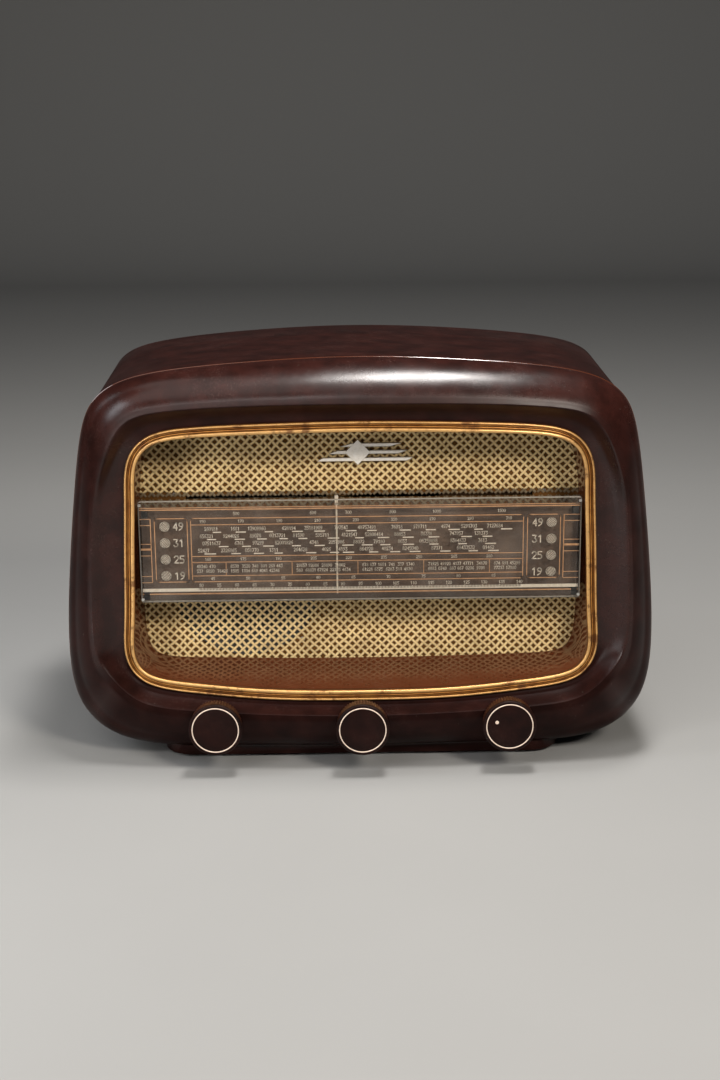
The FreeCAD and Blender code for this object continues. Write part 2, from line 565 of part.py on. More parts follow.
def knobs():
    add("volume_knob", knob("volume", -KNOB_SPREAD, SIDE_KNOB_FRONT, SIDE_KNOB_BACK))
    add("tuning_knob", knob("tuning", 0, KNOB_FRONT, KNOB_BACK))
    band = knob("band", KNOB_SPREAD, SIDE_KNOB_FRONT, SIDE_KNOB_BACK)
    angle = math.radians(160)
    x = KNOB_SPREAD + 9.3 * math.cos(angle)
    z = KNOB_Z + 9.3 * math.sin(angle)
    dot_back = SIDE_KNOB_FRONT + 0.8
    add("band_knob", band.cut(rod(x, z, 1.25, SIDE_KNOB_FRONT - 1, dot_back + 0.1)))
    add("band_knob_dot", rod(x, z, 1.2, SIDE_KNOB_FRONT, dot_back))

    # volume control: case on the apron, shaft turning in its bush
    shaft_front = SIDE_KNOB_FRONT + SHAFT_RECESS
    bush = tube(-KNOB_SPREAD, KNOB_Z, 4.8, SHAFT_RADIUS + RUNNING, 68, 78)
    nut = tube(-KNOB_SPREAD, KNOB_Z, 7, SHAFT_RADIUS + RUNNING, 72.4, CHASSIS_FRONT)
    case = tube(-KNOB_SPREAD, KNOB_Z, 13, SHAFT_RADIUS + RUNNING, CHASSIS_FRONT + SHEET, 94)
    case = case.cut(rod(-KNOB_SPREAD, KNOB_Z, 11.5, 80, 92.5))
    add("volume_control", fuse([bush, nut, case]))
    wiper = fuse([rod(-KNOB_SPREAD, KNOB_Z, SHAFT_RADIUS, shaft_front, 93.8),
                  rod(-KNOB_SPREAD, KNOB_Z, 6, 84, 86),
                  box(-KNOB_SPREAD - 2, -KNOB_SPREAD + 2, 84, 86, KNOB_Z, KNOB_Z + 10.5)])
    add("volume_shaft", wiper)

    # band switch: frame with two wafers, rotor with two cams
    bush = tube(KNOB_SPREAD, KNOB_Z, 4.8, SHAFT_RADIUS + RUNNING, 68, 78)
    nut = tube(KNOB_SPREAD, KNOB_Z, 7, SHAFT_RADIUS + RUNNING, 72.4, CHASSIS_FRONT)
    front_plate = tube(KNOB_SPREAD, KNOB_Z, 12.5, SHAFT_RADIUS + RUNNING, CHASSIS_FRONT + SHEET,
                       79.5)
    pieces = [bush, nut, front_plate]
    for depth in (92, 110):
        pieces.append(tube(KNOB_SPREAD, KNOB_Z, 13, 7, depth, depth + 2))
    for side in (-1, 1):
        pieces.append(rod(KNOB_SPREAD + side * 10, KNOB_Z, 1.5, 78, 113))
    add("band_switch", fuse(pieces))
    rotor = [rod(KNOB_SPREAD, KNOB_Z, SHAFT_RADIUS, shaft_front, 115)]
    for depth in (92.4, 110.4):
        rotor.append(rod(KNOB_SPREAD, KNOB_Z, 6.5, depth, depth + 1.2))
    add("band_shaft", fuse(rotor))


# ---------------------------------------------------------------- tuning capacitor
def tuning_capacitor():
    low = DRUM_Z - 26
    front = 72.0
    back = 126.0
    ends = [box(DRUM_X - 27, DRUM_X + 27, front, front + 2, low, low + 52),
            box(DRUM_X - 27, DRUM_X + 27, back - 2, back, low, low + 52),
            box(DRUM_X - 27, DRUM_X + 27, front, back, low, low + 2),
            box(DRUM_X - 27, DRUM_X + 27, 98, 100, low, low + 52)]
    frame = fuse(ends)
    frame = frame.cut(rod(DRUM_X, DRUM_Z, 3.175 + RUNNING, 60, 140))
    add("gang_frame", frame)
    stators = []
    rotors = [rod(DRUM_X, DRUM_Z, 3.175, 55, 128)]
    for bank in (76, 102):
        fins = []
        for k in range(5):
            depth = bank + 1 + 4 * k
            half = rod(DRUM_X, DRUM_Z, 23, depth, depth + 0.8)
            half = half.cut(box(DRUM_X - 30, DRUM_X + 30, 60, 140, DRUM_Z - 4.5, DRUM_Z + 30))
            fins.append(half.cut(rod(DRUM_X, DRUM_Z, 5, 60, 140)))
            vane = rod(DRUM_X, DRUM_Z, 20, depth + 1.8, depth + 2.6)
            vane = vane.cut(box(DRUM_X - 30, DRUM_X + 30, 60, 140, DRUM_Z, DRUM_Z + 30))
            rotors.append(vane)
        for side in (-1, 1):
            x = DRUM_X + side * 21.4
            fins.append(box(x - 0.8, x + 0.8, bank, bank + 20, DRUM_Z - 8, DRUM_Z - 5))
        stators.append(fuse(fins))
    add("gang_stators", *stators)
    drum_axis = Vector(DRUM_X, at(0), DRUM_Z)
    rotor = fuse(rotors)
    rotor.rotate(drum_axis, Vector(0, 1, 0), ROTOR_REST)
    add("gang_rotor", rotor)
    bracket = fuse([box(DRUM_X - 24, DRUM_X + 24, 78, 120, low - 2, low),
                    box(DRUM_X - 24, DRUM_X - 22, 78, 120, DECK_Z + SHEET, low),
                    box(DRUM_X + 22, DRUM_X + 24, 78, 120, DECK_Z + SHEET, low),
                    box(DRUM_X - 34, DRUM_X - 22, 78, 120, DECK_Z + SHEET, DECK_Z + 3),
                    box(DRUM_X + 22, DRUM_X + 34, 78, 120, DECK_Z + SHEET, DECK_Z + 3)])
    add("gang_bracket", bracket)


# ---------------------------------------------------------------- loudspeaker
def speaker_corners():
    return [(SPEAKER_X + a * 39, SPEAKER_Z + b * 39) for a in (-1, 1) for b in (-1, 1)]


def loudspeaker():
    x = SPEAKER_X
    z = SPEAKER_Z
    flange = tube(x, z, SPEAKER_RADIUS, CONE_RADIUS + 1.5, BOARD_BACK, BOARD_BACK + 1.5)
    basket = turned(x, z, [(CONE_RADIUS + 1.5, BOARD_BACK), (CONE_RADIUS + 3, BOARD_BACK),
                           (31.5, MAGNET_FRONT - 2), (31.5, MAGNET_FRONT), (14, MAGNET_FRONT),
                           (14, MAGNET_FRONT - 1.5), (29.5, MAGNET_FRONT - 1.5)])
    windows = [box(x - 13, x + 13, 64, 82, z - 70, z + 70), box(x - 70, x + 70, 64, 82, z - 13,
                                                               z + 13)]
    basket = basket.cut(Part.makeCompound(windows))
    frame = flange.fuse(basket)
    holes = [rod(a, b, 1.6, 50, 60) for a, b in speaker_corners()]
    add("speaker_frame", frame.cut(Part.makeCompound(holes)).removeSplitter())
    magnet = turned(x, z, [(0, MAGNET_FRONT), (10.6, MAGNET_FRONT), (10.6, 100), (13.4, 100),
                           (13.4, MAGNET_FRONT), (30, MAGNET_FRONT), (31, MAGNET_FRONT + 1),
                           (31, MAGNET_BACK - 2), (29, MAGNET_BACK), (0, MAGNET_BACK)])
    add("speaker_magnet", magnet)
    rim = CONE_RADIUS - 2
    cone = turned(x, z, [(rim - 1, 56), (rim, 56), (rim, 57), (rim - 1.5, 57), (12.3, 83),
                         (12.3, 96), (11.6, 96), (11.6, 81), (rim - 3, 56)])
    cap = turned(x, z, [(0, 77), (7, 78.2), (13, 80.8), (11.7, 81.4), (6.6, 79), (0, 77.8)])
    add("speaker_cone", fuse([cone, cap]))
    add("speaker_screws", *[fuse([rod(a, b, 1.5, BOARD_FRONT, BOARD_BACK + 1.5),
                                  rod(a, b, 3.2, BOARD_BACK + 1.5, BOARD_BACK + 3.5)])
                            for a, b in speaker_corners()])


# ---------------------------------------------------------------- chassis
def chassis():
    outer = box(-CHASSIS_X, CHASSIS_X, CHASSIS_FRONT, CHASSIS_BACK, CHASSIS_LOW, DECK_Z + SHEET)
    hollow = box(-CHASSIS_X + SHEET, CHASSIS_X - SHEET, CHASSIS_FRONT + SHEET,
                 CHASSIS_BACK - SHEET, CHASSIS_LOW - 1, DECK_Z)
    pan = outer.cut(hollow)
    flanges = [box(side * 126 - 14, side * 126 + 14, CHASSIS_FRONT, CHASSIS_BACK, CHASSIS_LOW,
                   CHASSIS_LOW + SHEET) for side in (-1, 1)]
    pan = fuse([pan] + flanges)
    holes = [post(x, depth, 2.2, 0, 30) for x, depth in CHASSIS_BOLTS]
    holes += [post(x, depth, 8, DECK_Z - 5, DECK_Z + 5) for x, depth in VALVES]
    holes += [rod(x, KNOB_Z, 5.05, 70, 80) for x in (-KNOB_SPREAD, 0, KNOB_SPREAD)]
    holes += [box(-74, -26, CHASSIS_BACK - 5, CHASSIS_BACK + 5, 30, 40)]
    add("chassis", pan.cut(Part.makeCompound(holes)))

    top = DECK_Z + SHEET
    bulbs = []
    sockets = []
    for x, depth in VALVES:
        sockets.append(fuse([post(x, depth, 7.8, DECK_Z - 6, top), post(x, depth, 12, top, top + 6)]))
        body = post(x, depth, 10.5, top + 6, top + 56)
        body = body.fuse(Part.makeSphere(10.5, Vector(x, at(depth), top + 56)))
        body = body.fuse(post(x, depth, 2.2, top + 62, top + 71))
        bulbs.append(body.removeSplitter())
    add("valve_sockets", *sockets)
    add("valves", *bulbs)
    cans = []
    for x, depth in IF_CANS:
        can = box(x - 12, x + 12, depth - 12, depth + 12, top, top + 58)
        upright = [e for e in can.Edges if abs(e.tangentAt(e.FirstParameter).z) > 0.9]
        cans.append(can.makeFillet(3, upright))
    add("if_cans", *cans)
    add("smoothing_can", fuse([post(-127, 131, 12, top, top + 74), post(-127, 131, 12.4, top, top + 3),
                               post(-127, 131, 9, top + 74, top + 75)]))
    add("mains_transformer", fuse([box(100, 138, 138, 184, top + 12, top + 44),
                                   box(98, 139, 150, 172, top, top + 56)]))
    add("transformer_coil", box(106, 134, 139, 149.9, top + 2, top + 11.9),
        box(106, 134, 172.1, 183, top + 2, top + 11.9))
    add("output_transformer", fuse([box(-139, -105, 160, 176, top, top + 34),
                                    box(-132, -112, 154, 182, top + 7, top + 27)]))
    pack = [box(-46, 74, 88, 118, 33, 44)]
    pack += [post(-34 + 24 * k, 103, 5.5, 20, 33) for k in range(5)]
    pack += [post(x, 103, 3, 44, DECK_Z) for x in (-40, 68)]
    add("coil_pack", fuse(pack))


# ---------------------------------------------------------------- build
cabinet()
small_trim()
rear()
grille()
dial()
drive()
knobs()
tuning_capacitor()
loudspeaker()
chassis()

os.makedirs("parts", exist_ok=True)
for node, shape in PARTS.items():
    shape.exportStep("parts/" + node + ".step")
print(len(PARTS), "nodes")
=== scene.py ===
import math
import random

import bmesh
import bpy
import numpy as np
from mathutils import Matrix, Vector


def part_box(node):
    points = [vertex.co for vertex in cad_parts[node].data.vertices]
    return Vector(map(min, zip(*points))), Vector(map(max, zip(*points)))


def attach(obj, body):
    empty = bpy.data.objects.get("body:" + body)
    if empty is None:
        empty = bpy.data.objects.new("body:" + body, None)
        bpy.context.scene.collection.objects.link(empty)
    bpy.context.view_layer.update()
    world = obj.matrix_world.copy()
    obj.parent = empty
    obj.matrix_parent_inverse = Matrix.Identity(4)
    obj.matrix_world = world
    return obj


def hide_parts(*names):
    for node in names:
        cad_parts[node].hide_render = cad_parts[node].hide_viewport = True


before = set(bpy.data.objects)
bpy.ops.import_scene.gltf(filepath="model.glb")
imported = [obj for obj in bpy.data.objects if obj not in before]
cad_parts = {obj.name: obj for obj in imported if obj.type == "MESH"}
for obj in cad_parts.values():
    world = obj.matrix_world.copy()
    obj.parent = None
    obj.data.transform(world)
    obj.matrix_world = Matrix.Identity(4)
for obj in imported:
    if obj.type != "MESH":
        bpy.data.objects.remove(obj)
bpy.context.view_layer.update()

# Bakelite table radio, in millimetres unless a comment says otherwise. Depths are counted backwards
# from the front ridge of the cabinet.

MM = 0.001
KNOB_FRONT = -15.0          # depth of the knobs' faces
FRONT_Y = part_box("tuning_knob")[0].y / MM - KNOB_FRONT
FRONT_BOW_RADIUS = 1500.0   # the front is bowed, seen from above:
BOW_FULL = 12.5             # fully down to this depth, and not at all from the crease on
CREASE = 35.0
REAR_RIM = 200.0
COVER_SEAT = 196.0
REAR_LIP = 2.5
WALL = 4.5
STEP = 1.2                  # how far the body behind the crease stands inside it
LEDGE = 12.5                # depth of the shelf that the bezel lies on
RING_STEPS = 20             # points between two control points
BEZEL_WIDTH = 7.5
TUNNEL_END = 50.0
TUNNEL_WALL = 3.0
KNOB_Z = 35.0
KNOB_SPREAD = 100.0
PLINTH_HALF = 140.0         # half width, front, back, corners and wall of the plinth
PLINTH_FRONT = 26.0
PLINTH_BACK = 191.0
PLINTH_CORNER = 22.0
PLINTH_WALL = 12.0
FOOT_X = 124.0
FOOT_DEPTHS = (42.0, 176.0)

# right halves of the outlines, from bottom centre to top centre: control points of closed cubic
# B-splines, x and height
OUTER = [(0, 6.5), (80.5, 7.5), (133, 6.5), (174, 12.3), (200.5, 37.5), (204.5, 82), (200, 140),
         (194.5, 189), (188, 238.5), (177.5, 259), (150.5, 273), (78.5, 279.5), (0, 283.5)]
REAR = [(0, 7.7), (80.5, 8.7), (133, 7.7), (173.5, 13.5), (199.3, 38), (203.3, 82), (198.7, 140),
        (193.4, 189), (189.5, 239), (180, 262), (150, 272), (78.5, 278.8), (0, 282.3)]
RIDGE = [(0, 39.5), (61, 40.5), (124.5, 43.5), (155, 46.5), (176, 71), (184, 83), (181.8, 140),
         (179.2, 186.5), (173.5, 212), (159.4, 245), (136, 252.2), (70.5, 256.1), (0, 256.5)]
BEZEL = [(0, 47.4), (61, 47.2), (118, 52.6), (152.5, 56.6), (165, 78), (161.8, 102.5),
         (160.7, 150), (158.3, 191.5), (158.3, 216), (144, 235.1), (113, 239.7), (59.3, 241.8),
         (0, 243.4)]
SILL = [(0, 65), (60, 65.5), (112, 66.8), (141.5, 67.5), (150.8, 77.5), (151.5, 112), (151.5, 150),
        (151.5, 190), (149, 212), (140, 223), (108, 230.5), (58, 233), (0, 234)]


def at(depth):
    """Y of a depth."""
    return FRONT_Y + depth


# ---------------- outlines
def whole(right_half):
    """Both halves of an outline."""
    mirrored = [(-x, z) for x, z in right_half[-2:0:-1]]
    return np.array(list(right_half) + mirrored, float)


def inset(points, amount):
    """Move each control point inwards, square to its neighbours' chord."""
    chord = np.roll(points, -1, axis=0) - np.roll(points, 1, axis=0)
    chord /= np.linalg.norm(chord, axis=1)[:, None]
    return points + amount * np.stack([-chord[:, 1], chord[:, 0]], axis=1)


def spline(points, per_span):
    """Points along the closed cubic B-spline of these control points."""
    t = (np.arange(per_span) / per_span)[None, :, None]
    a = np.roll(points, 1, axis=0)[:, None]
    b = points[:, None]
    c = np.roll(points, -1, axis=0)[:, None]
    d = np.roll(points, -2, axis=0)[:, None]
    curve = ((1 - t) ** 3 * a + (3 * t ** 3 - 6 * t ** 2 + 4) * b
             + (-3 * t ** 3 + 3 * t ** 2 + 3 * t + 1) * c + t ** 3 * d) / 6
    return curve.reshape(-1, 2)


def bow(x, depth):
    """How far the bowed front lies behind a flat one."""
    share = np.clip((CREASE - depth) / (CREASE - BOW_FULL), 0, 1)
    return share * x * x / (2 * FRONT_BOW_RADIUS)


def ring(points, depth, amount=0.0):
    """Closed outline in space at one depth, moved inwards by an amount."""
    flat = spline(inset(points, amount), RING_STEPS)
    y = at(depth) + bow(flat[:, 0], depth)
    return np.stack([flat[:, 0], y, flat[:, 1]], axis=1)


# ---------------- mesh helpers
def link(name, data):
    """Put an object with this data into the scene."""
    made = bpy.data.objects.new(name, data)
    bpy.context.scene.collection.objects.link(made)
    return made


def raw_object(name, vertices, faces):
    """A mesh object from millimetre vertices."""
    mesh = bpy.data.meshes.new(name)
    mesh.from_pydata([tuple(v * MM for v in p) for p in vertices], [], faces)
    mesh.validate()
    return link(name, mesh)


def face_outwards(mesh, merge_within=0.0):
    """Join points closer than a distance in metres, and turn the faces outwards."""
    work = bmesh.new()
    work.from_mesh(mesh)
    if merge_within:
        bmesh.ops.remove_doubles(work, verts=work.verts, dist=merge_within)
    bmesh.ops.recalc_face_normals(work, faces=work.faces)
    work.to_mesh(mesh)
    work.free()


def finish_mesh(mesh, smooth_angle, merge_within=0.0):
    """Outward normals, smooth faces and sharp edges above an angle."""
    face_outwards(mesh, merge_within)
    mesh.polygons.foreach_set("use_smooth", [True] * len(mesh.polygons))
    mesh.set_sharp_from_angle(angle=math.radians(smooth_angle))
    mesh.update()


def new_object(name, vertices, faces, body="cabinet", smooth_angle=35):
    """A finished mesh piece, riding on a body."""
    piece = raw_object(name, vertices, faces)
    finish_mesh(piece.data, smooth_angle)
    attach(piece, body)
    return piece


def grid_faces(rows, columns, wrap_rows=False):
    """Quads of a grid of points whose rows are closed loops."""
    faces = []
    for r in range(rows if wrap_rows else rows - 1):
        s = (r + 1) % rows
        for c in range(columns):
            d = (c + 1) % columns
            faces.append((r * columns + c, r * columns + d, s * columns + d, s * columns + c))
    return faces


def hoop(name, rings, smooth_angle=35):
    """Solid that runs once round the window: its section's corners are the rings."""
    faces = grid_faces(len(rings), len(rings[0]), True)
    return new_object(name, np.concatenate(rings), faces, smooth_angle=smooth_angle)


def stack(rows):
    """Closed solid through outlines that have equally many points."""
    count = len(rows[0])
    last = (len(rows) - 1) * count
    faces = grid_faces(len(rows), count)
    faces += [tuple(range(count)), tuple(range(last, last + count))]
    return [p for row in rows for p in row], faces


def mark(piece, name, values):
    """A number on each point, which a material can read."""
    attribute = piece.data.attributes.new(name, "FLOAT", "POINT")
    attribute.data.foreach_set("value", np.asarray(values, np.float32))


def combine(piece, solid, operation):
    """Boolean of a piece with the vertices and faces of a helper solid."""
    tool = raw_object("tool", *solid)
    face_outwards(tool.data)
    modifier = piece.modifiers.new("boolean", "BOOLEAN")
    modifier.operation = operation
    modifier.solver = "EXACT"
    modifier.object = tool
    bpy.context.view_layer.update()
    worked = piece.evaluated_get(bpy.context.evaluated_depsgraph_get())
    result = bpy.data.meshes.new_from_object(worked)
    piece.modifiers.clear()
    piece.data = result
    bpy.data.objects.remove(tool)


def lathe(sections, x, z, around, flutes=0, flute_depth=0.0, closed=False):
    """Points and faces turned about the depth axis at x, z, from (radius, depth, flute share)."""
    vertices = []
    for radius, depth, share in sections:
        for k in range(around):
            angle = 2 * math.pi * k / around
            wave = 0.5 - 0.5 * math.cos(flutes * angle)
            r = max(radius - share * flute_depth * wave ** 1.6, 0.01)
            vertices.append((x + r * math.cos(angle), depth, z + r * math.sin(angle)))
    return vertices, grid_faces(len(sections), around, closed)


def prism(outline, axis_low, axis_high, upright=True):
    """Closed solid from a plane outline: upright runs along Z, otherwise along the depth."""
    count = len(outline)
    if upright:
        vertices = [(x, y, z) for z in (axis_low, axis_high) for x, y in outline]
    else:
        vertices = [(x, y, z) for y in (axis_low, axis_high) for x, z in outline]
    faces = [tuple(range(count)), tuple(range(2 * count - 1, count - 1, -1))]
    faces += [(i, (i + 1) % count, count + (i + 1) % count, count + i) for i in range(count)]
    return vertices, faces


def rounded(x0, x1, y0, y1, radius, steps=8):
    """Outline of a rectangle with rounded corners."""
    corners = [(x1 - radius, y1 - radius, 0), (x0 + radius, y1 - radius, 90),
               (x0 + radius, y0 + radius, 180), (x1 - radius, y0 + radius, 270)]
    outline = []
    for x, y, start in corners:
        for k in range(steps + 1):
            angle = math.radians(start + 90 * k / steps)
            outline.append((x + radius * math.cos(angle), y + radius * math.sin(angle)))
    return outline


def circle(x, y, radius, steps=32):
    return [(x + radius * math.cos(2 * math.pi * k / steps),
             y + radius * math.sin(2 * math.pi * k / steps)) for k in range(steps)]


class Gather:
    """Vertices and faces of one piece, gathered solid by solid."""

    def __init__(self):
        self.vertices = []
        self.faces = []

    def add(self, vertices, faces):
        start = len(self.vertices)
        self.vertices += vertices
        self.faces += [tuple(start + i for i in face) for face in faces]


# ---------------- materials
class Paint:
    """A material being built from nodes, placed by the piece's own coordinates in metres."""

    def __init__(self, name, **settings):
        self.material = bpy.data.materials.new(name)
        self.material.use_nodes = True
        self.tree = self.material.node_tree
        self.surface = self.tree.nodes["Principled BSDF"]
        self.place = self.add("ShaderNodeTexCoord").outputs["Object"]
        self.set(**settings)

    def add(self, kind, **settings):
        made = self.tree.nodes.new(kind)
        for key, value in settings.items():
            setattr(made, key, value)
        return made

    def feed(self, socket, value):
        """Link an output, or set a number or colour."""
        if isinstance(value, bpy.types.NodeSocket):
            self.tree.links.new(value, socket)
        elif isinstance(value, (tuple, list)) and socket.type == "RGBA" and len(value) == 3:
            socket.default_value = (*value, 1.0)
        else:
            socket.default_value = value

    def set(self, **settings):
        for key, value in settings.items():
            self.feed(self.surface.inputs[key.replace("_", " ")], value)

    def node(self, kind, output, values, **settings):
        """Output of a new node whose inputs take these values."""
        made = self.add(kind, **settings)
        for key, value in values.items():
            self.feed(made.inputs[key], value)
        return made.outputs[output]

    def stretched(self, scale, turn=(0, 0, 0)):
        return self.node("ShaderNodeMapping", "Vector",
                         {"Vector": self.place, "Scale": scale, "Rotation": turn})

    def noise(self, scale, detail=4.0, roughness=0.55, vector=None):
        return self.node("ShaderNodeTexNoise", "Fac",
                         {"Vector": vector or self.place, "Scale": scale, "Detail": detail,
                          "Roughness": roughness})

    def cells(self, scale):
        """Distance to the nearest of many scattered points."""
        return self.node("ShaderNodeTexVoronoi", "Distance", {"Vector": self.place, "Scale": scale})

    def ranged(self, value, low, high, out_low=0.0, out_high=1.0):
        return self.node("ShaderNodeMapRange", "Result",
                         {"Value": value, "From Min": low, "From Max": high, "To Min": out_low,
                          "To Max": out_high})

    def maths(self, operation, a, b=0.0):
        return self.node("ShaderNodeMath", 0, {0: a, 1: b}, operation=operation)

    def times(self, a, b):
        return self.maths("MULTIPLY", a, b)

    def mix(self, share, a, b):
        return self.node("ShaderNodeMix", 2, {"Factor": share, 6: a, 7: b}, data_type="RGBA")

    def number(self, name):
        """A number that the mesh carries on its points."""
        return self.node("ShaderNodeAttribute", "Fac", {}, attribute_name=name)

    def bump(self, height, strength, distance):
        values = {"Strength": strength, "Distance": distance, "Height": height}
        normal = self.surface.inputs["Normal"]
        if normal.is_linked:
            values["Normal"] = normal.links[0].from_socket
        self.feed(normal, self.node("ShaderNodeBump", "Normal", values))

    def scratches(self, length_scale, turns):
        """A mask of fine straight hairlines in a few directions."""
        total = 0.0
        for turn in turns:
            lines = self.noise(1.0, 2.0, 0.5, self.stretched(length_scale, turn))
            thin = self.ranged(lines, 0.70, 0.715)
            total = self.maths("MAXIMUM", thin, total)
        return total


def bakelite(name, dark, warm, gloss, sheen=0.5):
    """Phenolic moulding: wood-flour mottle, handling haze, hairline scratches and dust specks;
    painted light where marked glossy, painted shade where marked dull.
    """
    paint = Paint(name, IOR=1.5)
    gloss_and_painted_light = paint.number("gloss_and_painted_light")
    dull_and_painted_shade = paint.number("dull_and_painted_shade")
    level = paint.ranged(gloss_and_painted_light, 0, 1, sheen, 1.0)
    paint.set(Specular_IOR_Level=paint.times(level, paint.ranged(dull_and_painted_shade, 0, 1, 1, 0.12)))
    mottle = paint.noise(55, 6, 0.6)
    flour = paint.noise(1400, 3, 0.6)
    colour = paint.mix(paint.ranged(mottle, 0.35, 0.68), dark, warm)
    colour = paint.mix(paint.ranged(flour, 0.58, 0.72, 0, 0.30), colour,
                       tuple(1.9 * c for c in warm))
    worn = paint.scratches((9000, 260, 700), ((0.2, 0.5, 0.9), (1.1, 0.2, 2.2), (0.6, 1.3, 0.1)))
    patchy = paint.ranged(paint.noise(28, 3), 0.50, 0.62)
    worn = paint.times(worn, patchy)
    dust_near = paint.ranged(paint.cells(520), 0.10, 0.05)
    dust_few = paint.ranged(paint.noise(300, 1), 0.66, 0.70)
    dust = paint.times(dust_near, dust_few)
    # painted light: a lighter, redder tone, with more gloss, where the mesh is marked for it
    painted_light_share = paint.times(gloss_and_painted_light, 0.85)
    colour = paint.mix(painted_light_share, colour,
                       paint.mix(mottle, (0.080, 0.020, 0.007), (0.125, 0.034, 0.012)))
    # painted shade: darker colour where the mesh is marked dull, together with less gloss
    colour = paint.mix(paint.times(dull_and_painted_shade, 0.30), colour, (0.004, 0.002, 0.002))
    colour = paint.mix(paint.times(worn, 0.35), colour, (0.30, 0.20, 0.17))
    colour = paint.mix(paint.times(dust, 0.75), colour, (0.42, 0.35, 0.30))
    haze = paint.ranged(paint.noise(16, 5, 0.65), 0.35, 0.7, gloss, gloss + 0.14)
    rough = paint.maths("ADD", haze, paint.times(worn, 0.25))
    rough = paint.times(rough, paint.ranged(gloss_and_painted_light, 0, 1, 1, 0.22))
    rough = paint.maths("ADD", rough, paint.times(dull_and_painted_shade, 0.16))
    paint.set(Base_Color=colour, Roughness=rough)
    paint.bump(paint.noise(95, 3, 0.5), 0.10, 0.0006)
    paint.bump(paint.maths("SUBTRACT", flour, paint.times(worn, 1.5)), 0.06, 0.00012)
    return paint.material


def bezel_gold():
    """Gilt strip: amber lacquer, a painted highlight on the crests and painted shade in the
    grooves, worn and tarnished in patches.
    """
    paint = Paint("bezel_gold", Metallic=0.55, Coat_Weight=0.12, Coat_Roughness=0.15)
    streaks = paint.noise(120, 7, 0.68)
    colour = paint.mix(paint.ranged(streaks, 0.35, 0.68), (0.29, 0.090, 0.008),
                       (0.54, 0.245, 0.044))
    # painted highlight: the reeds' crests are painted pale gold
    crest = paint.ranged(paint.number("groove"), 0.0, -0.55)
    colour = paint.mix(paint.times(crest, 0.5), colour, (0.97, 0.64, 0.27))
    wear = paint.ranged(paint.noise(55, 9, 0.72), 0.54, 0.61)
    colour = paint.mix(paint.times(wear, 0.8), colour, (0.15, 0.050, 0.013))
    grime = paint.ranged(paint.noise(330, 5, 0.7), 0.56, 0.70, 0, 0.5)
    colour = paint.mix(grime, colour, (0.25, 0.10, 0.025))
    # painted shade: the grooves and the strip's tucked-in edges are painted almost black-brown
    colour = paint.mix(paint.ranged(paint.number("groove"), 0.0, 0.40, 0, 0.97), colour,
                       (0.085, 0.022, 0.004))
    paint.set(Base_Color=colour, Roughness=paint.ranged(streaks, 0.3, 0.75, 0.26, 0.48))
    paint.bump(paint.noise(600, 5, 0.6), 0.22, 0.0002)
    return paint.material


def woven():
    """Golden-beige yarn: twisted threads along each strand, soiled in patches, painted shade along
    the strands' edges and in the band marked shade.
    """
    paint = Paint("grille_weave", Sheen_Weight=0.06, Sheen_Roughness=0.5, Specular_IOR_Level=0.3)
    across = paint.number("across")
    along = paint.number("along")
    twist = paint.maths("ADD", paint.times(across, 9.0), paint.times(along, 3200.0))
    threads = paint.maths("SINE", twist)
    soil = paint.noise(45, 5, 0.6)
    colour = paint.mix(paint.ranged(soil, 0.36, 0.66), (0.80, 0.57, 0.25), (0.46, 0.30, 0.110))
    colour = paint.mix(paint.ranged(threads, -1, 1, 0.0, 0.5), colour, (1.0, 0.84, 0.50))
    # painted shade along each strand's edges
    rim = paint.ranged(paint.maths("ABSOLUTE", across), 0.6, 1.0)
    colour = paint.mix(paint.times(rim, 0.7), colour, (0.16, 0.085, 0.03))
    spots = paint.ranged(paint.noise(240, 3), 0.60, 0.72, 0, 0.45)
    colour = paint.mix(spots, colour, (0.17, 0.10, 0.05))
    colour = paint.mix(paint.number("shade"), colour, (0.060, 0.040, 0.026))
    paint.set(Base_Color=colour, Roughness=0.62)
    paint.bump(threads, 0.55, 0.00010)
    paint.bump(paint.noise(3500, 3), 0.25, 0.00005)
    return paint.material


def plain(name, first, second, scale, roughness, metallic=0.0, grain=900, bump=0.12,
          stretch=None, **settings):
    """Two-tone surface with its own grain; stretch draws the pattern out along one way."""
    paint = Paint(name, Metallic=metallic, **settings)
    vector = paint.stretched(stretch) if stretch else None
    tone = paint.noise(scale, 6, 0.62, vector)
    fine = paint.noise(grain, 4, 0.6, vector)
    colour = paint.mix(paint.ranged(tone, 0.35, 0.68), first, second)
    colour = paint.mix(paint.ranged(fine, 0.55, 0.75, 0, 0.35), colour,
                       tuple(0.45 * c for c in first))
    paint.set(Base_Color=colour,
              Roughness=paint.ranged(tone, 0.3, 0.7, roughness, min(1.0, roughness + 0.16)))
    paint.bump(fine, bump, 0.00015)
    return paint.material


def clear_glass(name, tint, roughness, body_share):
    """Thin clear sheet: mirror-like at a glancing view, faint dust and haze on its face."""
    paint = Paint(name, Base_Color=(0.62, 0.56, 0.50), Roughness=0.7, Specular_IOR_Level=0.2)
    dust = paint.ranged(paint.noise(38, 6, 0.7), 0.45, 0.8, 0.0, body_share)
    specks = paint.ranged(paint.cells(900), 0.16, 0.06, 0, 0.5)
    few = paint.ranged(paint.noise(700, 1), 0.62, 0.66)
    film = paint.maths("MAXIMUM", dust, paint.times(specks, few))
    clear = paint.node("ShaderNodeBsdfTransparent", 0, {"Color": tint})
    mirror = paint.node("ShaderNodeBsdfGlossy", 0, {"Roughness": roughness})
    edge = paint.node("ShaderNodeFresnel", 0, {"IOR": 1.33})
    veil = paint.node("ShaderNodeMixShader", 0, {0: film, 1: clear, 2: paint.surface.outputs[0]})
    mixed = paint.node("ShaderNodeMixShader", 0, {0: edge, 1: veil, 2: mirror})
    paint.feed(paint.tree.nodes["Material Output"].inputs["Surface"], mixed)
    return paint.material


